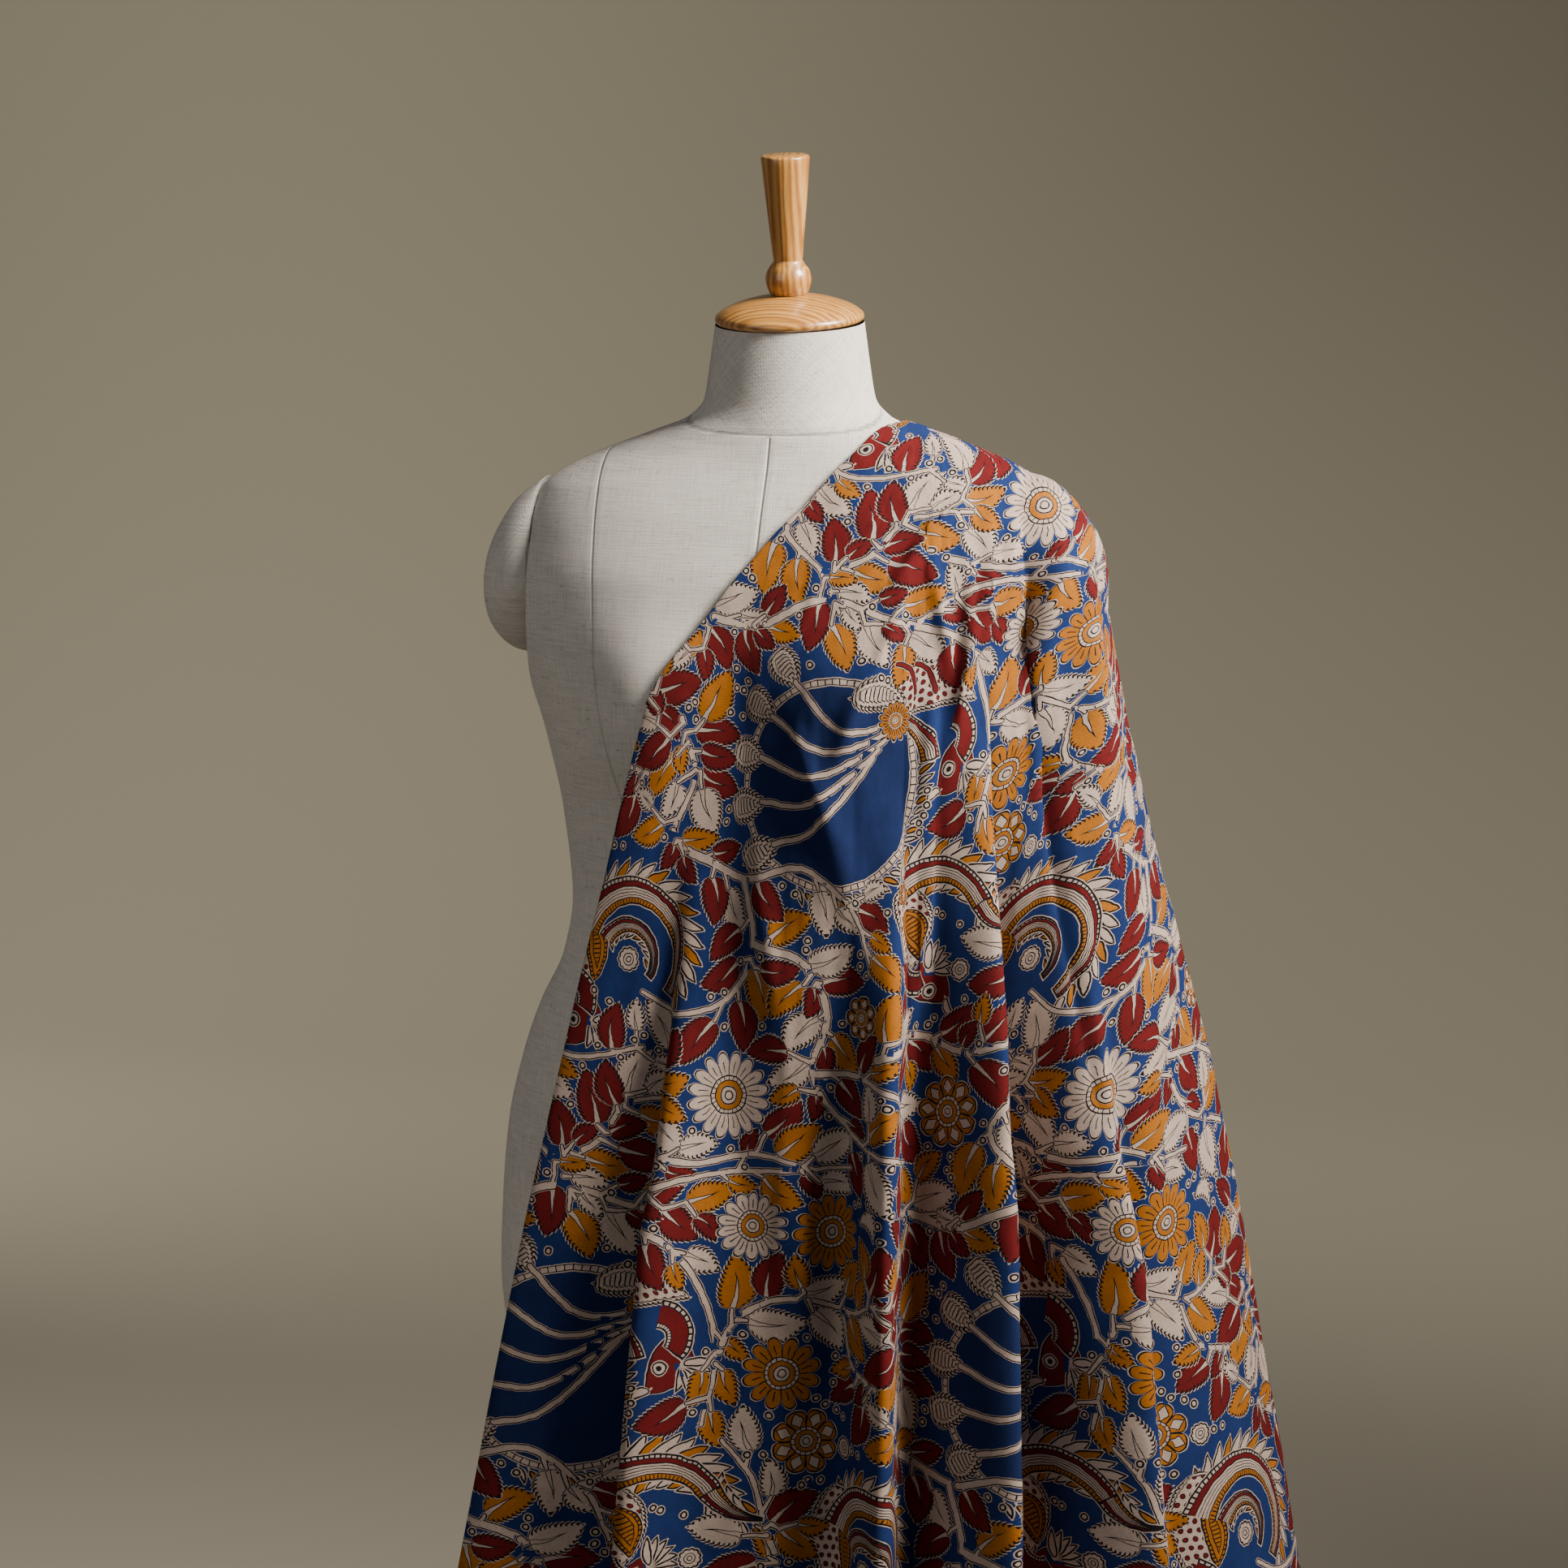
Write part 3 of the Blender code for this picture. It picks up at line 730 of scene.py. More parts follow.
    def write(self, mesh: bpy.types.Mesh) -> None:
        """Store the motifs of each face of the cloth's mesh."""
        fans = [d for d in self.block.discs if d.kind == Round.FAN]
        discs = [d for d in self.block.discs if d.kind != Round.FAN]
        for name, test, motifs, width, blank in (
            ("stroke", self.on_stroke, self.block.strokes, 7, (0, 0.0)),
            ("leaf", self.on_leaf, self.block.leaves, 9, (0, 0.0)),
            ("arc", self.on_arc, self.block.arcs, 9, (2, -1.0)),
            ("disc", self.on_disc, discs, 6, (0, self.far)),
            ("fan", self.on_disc, fans, 6, (0, self.far)),
        ):
            slots = FaceSlots(name, len(self.centres), width, blank)
            found = self.copies(motifs)
            for motif in found:
                slots.place(*test(motif))
            slots.store(mesh)
            LOG.info("print: %d of %s", len(found), name)


def distance(x: Signal, y: Signal) -> Signal:
    """The length of a flat vector."""
    return (x * x + y * y).root()


def lines(value: Signal, scale: Any, *rules: Place) -> Signal:
    """One on thin lines where a value, times a scale, is close to some values.

    Args:
        value: What is measured across the lines.
        scale: What turns it into the unit of the lines' half widths.
        rules: Each line's value and half width.

    Returns:
        The lines, more than one where they cross.
    """
    return sum(abs(value - at) * scale < half for at, half in rules)


@dataclass
class Layers:
    """The colour at a place of the print, built up by laying shapes over it."""

    dye: Dye
    u: Signal
    w: Signal
    colour: Any = Ink.BLUE

    def lay(self, share: Any, colour: Any) -> None:
        """Lay a colour over what is there."""
        self.colour = self.dye.mix(share, self.colour, colour)

    def edged(self, inside: Signal, fill: Any, outline: float, halo: float, real: Signal) -> None:
        """Lay a shape with a black outline and a thin unprinted line outside it."""
        for depth, ink in ((-halo, Ink.CREAM), (0.0, Ink.BLACK), (outline, fill)):
            self.lay((inside > depth) * real, ink)

    def ink(self, code: Signal) -> Any:
        """The colour of an ink by its number."""
        stops = [(ink / len(Ink), INK_COLOURS[ink]) for ink in Ink]
        return self.dye.ramp((code + 0.5) / len(Ink), stops, steps=True)

    def beside(self, name: str) -> tuple[Signal, Signal, Signal]:
        """The way from a motif's own place to this one, and the motif's third number."""
        u, w, size = self.dye.attribute(name + "a")
        return self.u - u, self.w - w, size


@dataclass(frozen=True)
class CottonPrint:
    """The printed cotton: plain weave, hand-drawn print with black outlines."""

    outline: float = 1.30
    stem_outline: float = 0.85
    halo: float = 0.75
    stem_halo: float = 0.4
    tooth: float = 3.2
    bead_pitch: float = 6.4
    inner_line: float = 3.2
    eye_line: float = 6.6
    tick: float = 3.4
    thread: float = 0.55
    wobble: float = 0.7
    band_red: float = 0.28
    band_edge: float = 0.66
    band_ochre: float = 0.52
    neck_edge: float = 0.62
    fan_border: float = 5.6
    fan_beads: float = 4.2

    def material(self) -> bpy.types.Material:
        """Make the material for a cloth that carries the print's slots."""
        dye = Dye("printed_cotton")
        u, w, _ = dye.attribute("print_place")
        raw = dye.combine(u, w)
        sway, tremble = dye.noise(raw, 0.11, 1.0), dye.noise(raw, 0.5, 1.0)
        lift = dye.noise(dye.combine(w, u, 7.0), 0.11, 1.0)
        pu = u + (sway - 0.5) * self.wobble * 3.0 + (tremble - 0.5) * self.wobble
        layers = Layers(dye, pu, w + (lift - 0.5) * self.wobble * 3.0)
        self.disc(layers, "fan0")
        for slot in range(SLOTS["leaf"]):
            self.leaf(layers, f"leaf{slot}")
        self.stems(layers)
        for slot in range(SLOTS["arc"]):
            self.arc(layers, f"arc{slot}")
        for slot in range(SLOTS["disc"]):
            self.disc(layers, f"disc{slot}")
        blotch = dye.noise(raw, 0.06, 3.0).between(0.25, 0.75)
        grain = dye.noise(dye.combine(u * 0.35, w), 1.1, 3.0, 0.65)
        colour = dye.shade(layers.colour, blotch, (0.0, 0.82), (1.0, 1.08))
        colour = dye.shade(colour, grain, (0.32, 0.80), (0.62, 1.10))
        weft, warp = (u * (pi / self.thread)).sine(), (w * (pi / self.thread)).sine()
        rumple = dye.noise(dye.combine(u * 0.6, w * 0.35, 3.0), 0.055, 2.0, 0.5)
        dye.bump(weft * warp * 0.5 + grain + rumple * 16.0, 0.00022, 0.7)
        return dye.finish(colour, 0.86, Specular_IOR_Level=0.15)

    def stems(self, layers: Layers) -> None:
        """Lay the stems, joined where they meet."""
        dye, inside, code = layers.dye, None, None
        for slot in range(SLOTS["stroke"]):
            du, dw, radius = layers.beside(f"stroke{slot}")
            au, aw = layers.u - du, layers.w - dw
            bu, bw, to_radius = dye.attribute(f"stroke{slot}b")
            this_code = dye.number(f"stroke{slot}c")
            eu, ew = bu - au, bw - aw
            along = ((du * eu + dw * ew) / (eu * eu + ew * ew).most(0.0001)).held()
            this = radius + (to_radius - radius) * along - distance(du - eu * along, dw - ew * along)
            this = this - (radius < 0.001) * 99.0
            if inside is None:
                inside, code = this, this_code
            else:
                code = code + (this_code - code) * (this > inside)
                inside = inside.most(this)
        layers.edged(inside, layers.ink(code), self.stem_outline, self.stem_halo, inside > -9.0)

    def leaf(self, layers: Layers, name: str) -> None:
        """Lay a leaf."""
        du, dw, length = layers.beside(name)
        c, s, half = layers.dye.attribute(name + "b")
        bend, teeth, code = layers.dye.attribute(name + "c")
        x = (du * c + dw * s) / length.most(0.001)
        held = x.held()
        y = dw * c - du * s - bend * length * 4.0 * held * (1.0 - held)
        saw = (x * length / self.tooth).fract()
        profile = (held**0.5) * ((1.0 - held) ** 0.8) * 2.38
        width = half * profile + (saw - 0.5) * teeth * 1.5
        ends = (held * length).least((1.0 - x) * length).least(x * length + 1.5)
        inside = (width - abs(y)).least(ends + 0.2)
        pattern = (code * 0.1).floor()
        real = length > 0.0
        layers.edged(inside, layers.ink(code - pattern * 10.0), 0.0, self.halo, real)
        vein = ((0.066 - held * 0.092) * length - abs(y - held * held * length * 0.10)) * (inside > 0.5)
        veined, scaled, ringed = (pattern.near(kind) for kind in list(Pattern)[1:])
        layers.lay(veined * (vein > 0.0), Ink.BLACK)
        layers.lay(veined * (vein > 0.6), Ink.CREAM)
        row = x * length / self.bead_pitch
        lift = y / self.bead_pitch + row.floor() * 0.5
        bead = distance(row.fract() - 0.5, lift.fract() - 0.5) * self.bead_pitch
        deep = scaled * (inside > self.inner_line)
        layers.lay(deep * (bead < 2.0), Ink.BLACK)
        layers.lay(deep * (bead < 1.4), Ink.RED)
        drawn = (scaled + ringed) * lines(inside, 1.0, (self.inner_line, 0.45))
        drawn = drawn + ringed * lines(inside, 1.0, (self.eye_line, 0.45))
        hatch = (inside < self.inner_line) * (saw < 0.36) + (inside > self.eye_line + 0.6) * (saw < 0.30)
        edge = self.outline + (saw < 0.42) * teeth * 1.1
        drawn = (drawn + ringed * hatch + (inside < edge)) * (inside > 0.0)
        layers.lay(drawn.least(1.0) * real, Ink.BLACK)

    def arc(self, layers: Layers, name: str) -> None:
        """Lay a striped band."""
        du, dw, radius = layers.beside(name)
        start, sweep, thick = layers.dye.attribute(name + "b")
        thin, stripes, _ = layers.dye.attribute(name + "c")
        size = abs(sweep).most(0.001)
        turn = ((dw.arctan2(du) - start) * sweep.sign() * (1.0 / tau)).fract() * tau
        along = turn / size
        half = thick + (thin - thick) * along.least(1.0)
        across = (distance(du, dw) - radius) / half.most(0.1)
        inside = (half - abs(across) * half).least((1.0 - along) * size * radius + 0.3)
        real = radius > 0.0
        layers.edged(inside, Ink.CREAM, self.outline, self.halo, real)
        core = real * (inside > self.outline)
        tick = (turn * radius / self.tick).fract() < 0.32
        tail, neck = stripes < 0.5, stripes > 0.5
        outer = core * tail * (across > self.band_red)
        layers.lay(outer, Ink.RED)
        layers.lay(outer * (across > self.band_edge), Ink.CREAM)
        layers.lay(core * tail * (across < -self.band_ochre), Ink.OCHRE)
        layers.lay(core * neck * (abs(across) < self.neck_edge), Ink.RED)
        edges = ((self.band_red, 0.45), (-self.band_ochre, 0.45), (self.band_edge, 0.4))
        drawn = tail * lines(across, half, *edges, (-0.12, 0.3), (0.08, 0.28), (-0.32, 0.28))
        drawn = drawn + tail * tick * ((across < -0.60) + (across > self.band_edge))
        drawn = drawn + neck * tick * (abs(across) > self.neck_edge)
        drawn = drawn + neck * lines(abs(across), half, (self.neck_edge, 0.4))
        layers.lay(drawn.least(1.0) * core, Ink.BLACK)

    def disc(self, layers: Layers, name: str) -> None:
        """Lay a round motif."""
        du, dw, radius = layers.beside(name)
        petals, kind, code = layers.dye.attribute(name + "b")
        turn = dw.arctan2(du) * (1.0 / tau)
        bow = 1.0 - abs((turn * petals).fract() - 0.5) * 2.0
        rosette, sun, heart, fan, eye = (kind.near(k) for k in list(Round)[1:])
        depth = rosette * 0.16 + sun * 0.42 + heart * 0.26
        reach = distance(du, dw)
        inside = radius * (1.0 - depth + depth * (bow * (2.0 - bow)).root()) - reach
        real = radius > 0.0
        layers.edged(inside, layers.ink(code), self.outline, self.halo, real)
        share = reach / radius.most(0.001)
        flower = sun + heart
        gap = flower * (bow * radius * 0.13 < 0.42) * (share > 0.45) * (inside > 0.0)
        layers.lay(gap * real, Ink.BLACK)
        rib = sun * ((1.0 - bow) * radius * 0.13 < 0.34) * (share > 0.50) * (share < 0.76)
        layers.lay(rib * real, Ink.BLACK)
        lobe = bow * 0.34 - abs(share - 0.68)
        layers.lay(heart * (share > 0.46) * (lobe > 0.10) * real, Ink.CREAM)
        layers.lay(heart * (share > 0.44) * lines(lobe, 1.0, (0.10, 0.025)) * real, Ink.BLACK)
        core = flower * (share < 0.45)
        layers.lay(core * real, Ink.CREAM)
        spoke = abs((turn * (petals + 6.0)).fract() - 0.5) < 0.09
        rings = lines(share, 1.0, (0.44, 0.022), (0.33, 0.016), (0.20, 0.016), (0.10, 0.016))
        drawn = core * (rings + spoke * (share > 0.33))
        drawn = drawn + rosette * lines(share, 1.0, (0.48, 0.045), (0.22, 0.045))
        layers.lay(drawn.least(1.0) * real, Ink.BLACK)
        layers.lay(core * (share < 0.32) * (share > 0.22) * real, Ink.OCHRE)
        border = fan * (inside < self.fan_border) * (inside > 0.0)
        layers.lay(border, Ink.CREAM)
        beads = (bow < 0.16) * (inside < self.fan_beads) + (inside < 0.7)
        beads = beads + lines(inside, 1.0, (self.fan_beads + 0.2, 0.35))
        layers.lay((border * beads).least(1.0), Ink.BLACK)
        layers.lay(eye * real * (share < 0.78), Ink.CREAM)
        layers.lay(eye * real * (share < 0.40), Ink.BLACK)


@dataclass(frozen=True)
class LinenWeave:
    """The form's slubby natural linen with its seams, with painted shade along the seams' grooves."""

    thread: float = 0.62
    colour: Colour = (0.575, 0.522, 0.452)
    fleck_colour: Colour = (0.20, 0.16, 0.12)
    seam_reach: float = 1.5
    puff_place: float = 4.5
    puff_reach: float = 3.5

    def tint(self, factor: float) -> Colour:
        """The linen's colour, darker or lighter."""
        return tuple(c * factor for c in self.colour)

    def material(self) -> bpy.types.Material:
        """Make the material for meshes with linen_place and seams."""
        dye = Dye("linen")
        across, up, bias = dye.attribute("linen_place")
        a = across + ((across + up) * 0.7071 - across) * bias
        b = up + ((up - across) * 0.7071 - up) * bias
        warp_slub = dye.noise(dye.combine(a, b * 0.045), 0.85, 2.0, 0.6)
        weft_slub = dye.noise(dye.combine(a * 0.045, b, 5.0), 0.85, 2.0, 0.6)
        fleck = dye.noise(dye.combine(a * 0.30, b, 9.0), 0.42, 3.0, 0.7)
        warp, weft = (a * (pi / self.thread)).sine(), (b * (pi / self.thread)).sine()
        cloth = warp_slub * 0.5 + weft_slub * 0.5
        stops = [(0.0, self.tint(0.80)), (0.5, self.colour), (1.0, self.tint(1.14))]
        colour = dye.ramp(cloth.between(0.34, 0.66), stops)
        colour = dye.mix(fleck.between(0.625, 0.685) * 0.5, colour, self.fleck_colour)
        cloud = dye.noise(dye.combine(across, up, 2.0), 0.012, 2.0)
        colour = dye.shade(colour, cloud, (0.3, 0.93), (0.7, 1.04))
        middle, princess, neck = (abs(line) for line in dye.attribute("seams"))
        seam = middle.least(princess).least(neck)
        groove_and_shade = 1.0 - (seam / self.seam_reach).least(1.0)
        puff = 1.0 - (abs(seam - self.puff_place) / self.puff_reach).least(1.0)
        # painted shade: the linen's colour is darkened along each seam's groove, on top of the groove's bump
        colour = dye.mix(groove_and_shade * 0.35, colour, self.tint(0.45))
        dye.bump(cloth * 1.8 + warp * weft * 0.35 - groove_and_shade * 3.0 + puff * 0.7, 0.00035, 0.8)
        return dye.finish(colour, 0.93, Specular_IOR_Level=0.2)


@dataclass(frozen=True)
class VarnishedWood:
    """Honey-coloured wood under clear varnish; the grain runs along one axis."""

    dark: Colour = (0.235, 0.085, 0.014)
    mid: Colour = (0.430, 0.190, 0.038)
    light: Colour = (0.530, 0.270, 0.068)
    stretch: float = 0.07

    def material(self, name: str, along: int) -> bpy.types.Material:
        """Make the material, with the grain along axis 0 or 2 of wood_place."""
        dye = Dye(name)
        place = dye.attribute("wood_place")
        x, y, z = (p * self.stretch if axis == along else p for axis, p in enumerate(place))
        spot = dye.combine(x, y, z)
        wavy, fine = dye.noise(spot, 0.09, 2.0), dye.noise(spot, 1.5, 3.0, 0.6)
        rings = (((y if along == 0 else x) * 0.55 + wavy * 7.0) * 2.2).sine() * 0.5 + 0.5
        stops = [(0.15, self.dark), (0.5, self.mid), (0.85, self.light)]
        colour = dye.ramp(rings * 0.55 + fine * 0.45, stops)
        dye.bump(fine, 0.00006, 0.4)
        return dye.finish(colour, 0.38, Coat_Weight=0.55, Coat_Roughness=0.12)


def plain(name: str, colour: Colour, roughness: float, metallic: float = 0.0) -> bpy.types.Material:
    """A plain finish."""
    return Dye(name).finish(colour, roughness, Metallic=metallic)


class Section(NamedTuple):
    """A level section of the torso."""

    height: float
    half_width: float
    front: float
    back: float
    power: float


class StumpSection(NamedTuple):
    """An upright section of an arm stump."""

    reach: float
    top: float
    bottom: float
    half_depth: float


class EdgeAngle(NamedTuple):
    """Plan angles of the cloth's two upright edges at a height, in degrees."""

    height: float
    front: float
    back: float


class Flare(NamedTuple):
    """How far the cloth hangs outside its resting place, by plan angle."""

    angle: float
    start: float
    hem: float


class Fold(NamedTuple):
    """A crest or trough: plan angles, rise at the hem and the height where it begins."""

    high_angle: float
    hem_angle: float
    rise: float
    start: float


class Turned(NamedTuple):
    """A point of a turned profile."""

    radius: float
    height: float


TORSO_SECTIONS = (
    Section(0.600, 0.196, 0.118, 0.142, 2.2),
    Section(0.622, 0.208, 0.126, 0.152, 2.2),
    Section(0.714, 0.223, 0.136, 0.164, 2.2),
    Section(0.771, 0.221, 0.135, 0.160, 2.2),
    Section(0.828, 0.216, 0.130, 0.148, 2.2),
    Section(0.884, 0.203, 0.122, 0.132, 2.2),
    Section(0.918, 0.191, 0.116, 0.122, 2.2),
    Section(0.959, 0.172, 0.109, 0.112, 2.2),
    Section(1.000, 0.165, 0.106, 0.108, 2.2),
    Section(1.066, 0.171, 0.114, 0.114, 2.2),
    Section(1.126, 0.183, 0.122, 0.124, 2.3),
    Section(1.185, 0.200, 0.122, 0.130, 2.4),
    Section(1.240, 0.206, 0.112, 0.126, 2.4),
    Section(1.280, 0.202, 0.095, 0.112, 2.3),
    Section(1.308, 0.188, 0.080, 0.094, 2.2),
    Section(1.324, 0.166, 0.071, 0.083, 2.1),
    Section(1.338, 0.134, 0.065, 0.076, 2.0),
    Section(1.350, 0.1025, 0.061, 0.071, 2.0),
    Section(1.361, 0.0750, 0.059, 0.067, 2.0),
    Section(1.374, 0.0635, 0.057, 0.063, 2.0),
    Section(1.394, 0.0600, 0.055, 0.058, 2.0),
    Section(1.4295, 0.0550, 0.052, 0.054, 2.0),
)

STUMP_SECTIONS = (
    StumpSection(0.1863, 1.314, 1.186, 0.053),
    StumpSection(0.196, 1.308, 1.182, 0.055),
    StumpSection(0.208, 1.298, 1.183, 0.052),
    StumpSection(0.218, 1.284, 1.189, 0.046),
    StumpSection(0.226, 1.268, 1.199, 0.036),
    StumpSection(0.230, 1.252, 1.211, 0.022),
)

EDGE_ANGLES = (
    EdgeAngle(0.330, 213.5, 472.0),
    EdgeAngle(0.507, 214.0, 472.0),
    EdgeAngle(0.745, 215.0, 472.0),
    EdgeAngle(0.918, 217.0, 472.0),
    EdgeAngle(1.040, 219.0, 471.0),
    EdgeAngle(1.145, 221.0, 470.0),
    EdgeAngle(1.202, 224.0, 468.0),
    EdgeAngle(1.282, 233.0, 463.0),
    EdgeAngle(1.298, 237.0, 461.0),
    EdgeAngle(1.325, 243.0, 458.0),
    EdgeAngle(1.339, 249.0, 456.0),
    EdgeAngle(1.357, 255.0, 455.0),
)

FLARES = (
    Flare(213.0, 1.150, 0.155),
    Flare(240.0, 1.150, 0.100),
    Flare(270.0, 1.150, 0.075),
    Flare(300.0, 1.180, 0.090),
    Flare(330.0, 1.200, 0.135),
    Flare(350.0, 1.220, 0.165),
    Flare(380.0, 1.220, 0.155),
    Flare(420.0, 1.200, 0.120),
    Flare(472.0, 1.200, 0.110),
)

FOLDS = (
    Fold(226.0, 228.5, -0.026, 1.120),
    Fold(231.5, 235.5, 0.024, 1.120),
    Fold(240.0, 241.0, -0.008, 1.060),
    Fold(252.0, 252.0, -0.014, 1.060),
    Fold(267.0, 266.0, -0.026, 1.100),
    Fold(279.5, 277.5, 0.029, 1.120),
    Fold(283.0, 280.5, -0.014, 1.120),
    Fold(292.0, 288.0, -0.012, 1.120),
    Fold(307.5, 301.5, 0.034, 1.220),
    Fold(310.5, 304.5, -0.036, 1.190),
    Fold(319.0, 313.0, -0.046, 1.170),
    Fold(331.0, 325.5, 0.028, 1.100),
    Fold(338.0, 333.0, 0.000, 1.080),
    Fold(352.0, 349.0, 0.000, 1.150),
    Fold(372.0, 370.0, 0.022, 1.160),
    Fold(386.0, 386.0, -0.022, 1.160),
    Fold(401.0, 402.0, 0.022, 1.140),
    Fold(415.0, 416.0, -0.022, 1.140),
    Fold(430.0, 431.0, 0.022, 1.120),
    Fold(445.0, 446.0, -0.018, 1.120),
    Fold(459.0, 460.0, 0.012, 1.120),
)

CAP_PROFILE = (
    Turned(0.0525, 0.0000),
    Turned(0.0550, 0.0020),
    Turned(0.0550, 0.0050),
    Turned(0.0530, 0.0075),
    Turned(0.0470, 0.0115),
    Turned(0.0370, 0.0155),
    Turned(0.0250, 0.0187),
    Turned(0.0140, 0.0205),
)
FINIAL_PROFILE = (
    Turned(0.0130, 0.0000),
    Turned(0.0150, 0.0030),
    Turned(0.0168, 0.0080),
    Turned(0.0170, 0.0130),
    Turned(0.0155, 0.0180),
    Turned(0.0120, 0.0225),
    Turned(0.0104, 0.0250),
    Turned(0.0110, 0.0270),
    Turned(0.0180, 0.0990),
    Turned(0.0176, 0.1008),
    Turned(0.0165, 0.1015),
)
BASE_PROFILE = (
    Turned(0.1880, 0.0000),
    Turned(0.1900, 0.0030),
    Turned(0.1900, 0.0140),
    Turned(0.1860, 0.0180),
    Turned(0.1200, 0.0240),
    Turned(0.0420, 0.0300),
    Turned(0.0340, 0.0340),
)


def smooth(places: Sequence[float], values: Sequence[float], at: Any) -> np.ndarray:
    """A monotone cubic through a table's values."""
    places, values = np.asarray(places, float), np.asarray(values, float)
    steps = np.diff(places)
    rates = np.diff(values) / steps
    slopes = np.zeros_like(values)
    total = rates[:-1] + rates[1:]
    turning = rates[:-1] * rates[1:] <= 0.0
    slopes[1:-1] = np.where(turning, 0.0, 2 * rates[:-1] * rates[1:] / np.where(turning, 1.0, total))
    slopes[0], slopes[-1] = rates[0], rates[-1]
    at = np.clip(at, places[0], places[-1])
    i = np.clip(np.searchsorted(places, at, "right") - 1, 0, len(steps) - 1)
    t = (at - places[i]) / steps[i]
    rise = values[i] * (1 + 2 * t) * (1 - t) ** 2 + values[i + 1] * t * t * (3 - 2 * t)
    return rise + steps[i] * t * (1 - t) * (slopes[i] * (1 - t) - slopes[i + 1] * t)


def table_column(rows: Sequence[Any], name: str, at: Any, key: str = "height") -> np.ndarray:
    """One column of a table, read smoothly at some place."""
    return smooth([getattr(r, key) for r in rows], [getattr(r, name) for r in rows], at)


def spline(values: np.ndarray, at: np.ndarray) -> np.ndarray:
    """A Catmull-Rom curve through evenly spaced rows of values."""
    padded = np.concatenate([2 * values[:1] - values[1:2], values, 2 * values[-1:] - values[-2:-1]])
    i = np.clip(at.astype(int), 0, len(values) - 2)
    t = (at - i)[:, None]
    p0, p1, p2, p3 = (padded[i + k] for k in range(4))
    bend = (2 * p0 - 5 * p1 + 4 * p2 - p3) * t * t + (3 * p1 - p0 - 3 * p2 + p3) * t**3
    return p1 + 0.5 * ((p2 - p0) * t + bend)


def run_along(points: np.ndarray) -> np.ndarray:
    """Distance from the first along rows of points."""
    steps = np.linalg.norm(np.diff(points, axis=0), axis=-1)
    return np.concatenate([np.zeros_like(steps[:1]), np.cumsum(steps, axis=0)])


def grid_quads(columns: int, rows: int, closed: bool) -> np.ndarray:
    """Corners of the faces between neighbouring points of a grid, column by column."""
    i = np.arange(columns if closed else columns - 1)[:, None]
    j = np.arange(rows - 1)[None, :]
    following = (i + 1) % columns
    quads = [i * rows + j, i * rows + j + 1, following * rows + j + 1, following * rows + j]
    return np.stack(np.broadcast_arrays(*quads), axis=-1).reshape(-1, 4)


def tube_faces(columns: int, rows: int, ends: int) -> list[list[int]]:
    """Faces of a tube, with fans to one or two points that follow it in the mesh."""
    faces, low = grid_quads(columns, rows, True).tolist(), columns * rows
    for i in range(columns):
        j = (i + 1) % columns
        faces.append([low, j * rows, i * rows])
        if ends == 2:
            faces.append([low + 1, i * rows + rows - 1, j * rows + rows - 1])
    return faces


def round_angles(count: int) -> np.ndarray:
    """Evenly spaced angles of a whole turn."""
    return np.arange(count) * tau / count


def add_mesh(
    name: str, points: np.ndarray, faces: Iterable[Sequence[int]], material: bpy.types.Material
) -> bpy.types.Object:
    """Make a smooth mesh object.

    Args:
        name: The object's name.
        points: Its vertices in metres.
        faces: Their numbers, face by face.
        material: Its finish.

    Returns:
        The object.
    """
    mesh = bpy.data.meshes.new(name)
    mesh.from_pydata(np.asarray(points).tolist(), [], faces)
    shell = bmesh.new()
    shell.from_mesh(mesh)
    bmesh.ops.recalc_face_normals(shell, faces=shell.faces)
    shell.to_mesh(mesh)
    shell.free()
    mesh.shade_smooth()
    mesh.materials.append(material)
    return add_object(name, mesh)


def add_object(name: str, data: Any) -> bpy.types.Object:
    """Put an object in the scene."""
    made = bpy.data.objects.new(name, data)
    bpy.context.collection.objects.link(made)
    return made


def store_vectors(mesh: bpy.types.Mesh, name: str, *values: np.ndarray) -> None:
    """Write a vector for each vertex of a mesh."""
    made = mesh.attributes.new(name, "FLOAT_VECTOR", "POINT")
    rows = np.vstack([np.asarray(v, np.float32).reshape(-1, 3) for v in values])
    made.data.foreach_set("vector", rows.ravel())


def seat(piece: bpy.types.Object, node: str) -> None:
    """Let a piece ride on the body in the place of a node, and hide that node's part."""
    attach(piece, BODY)
    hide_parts(node)


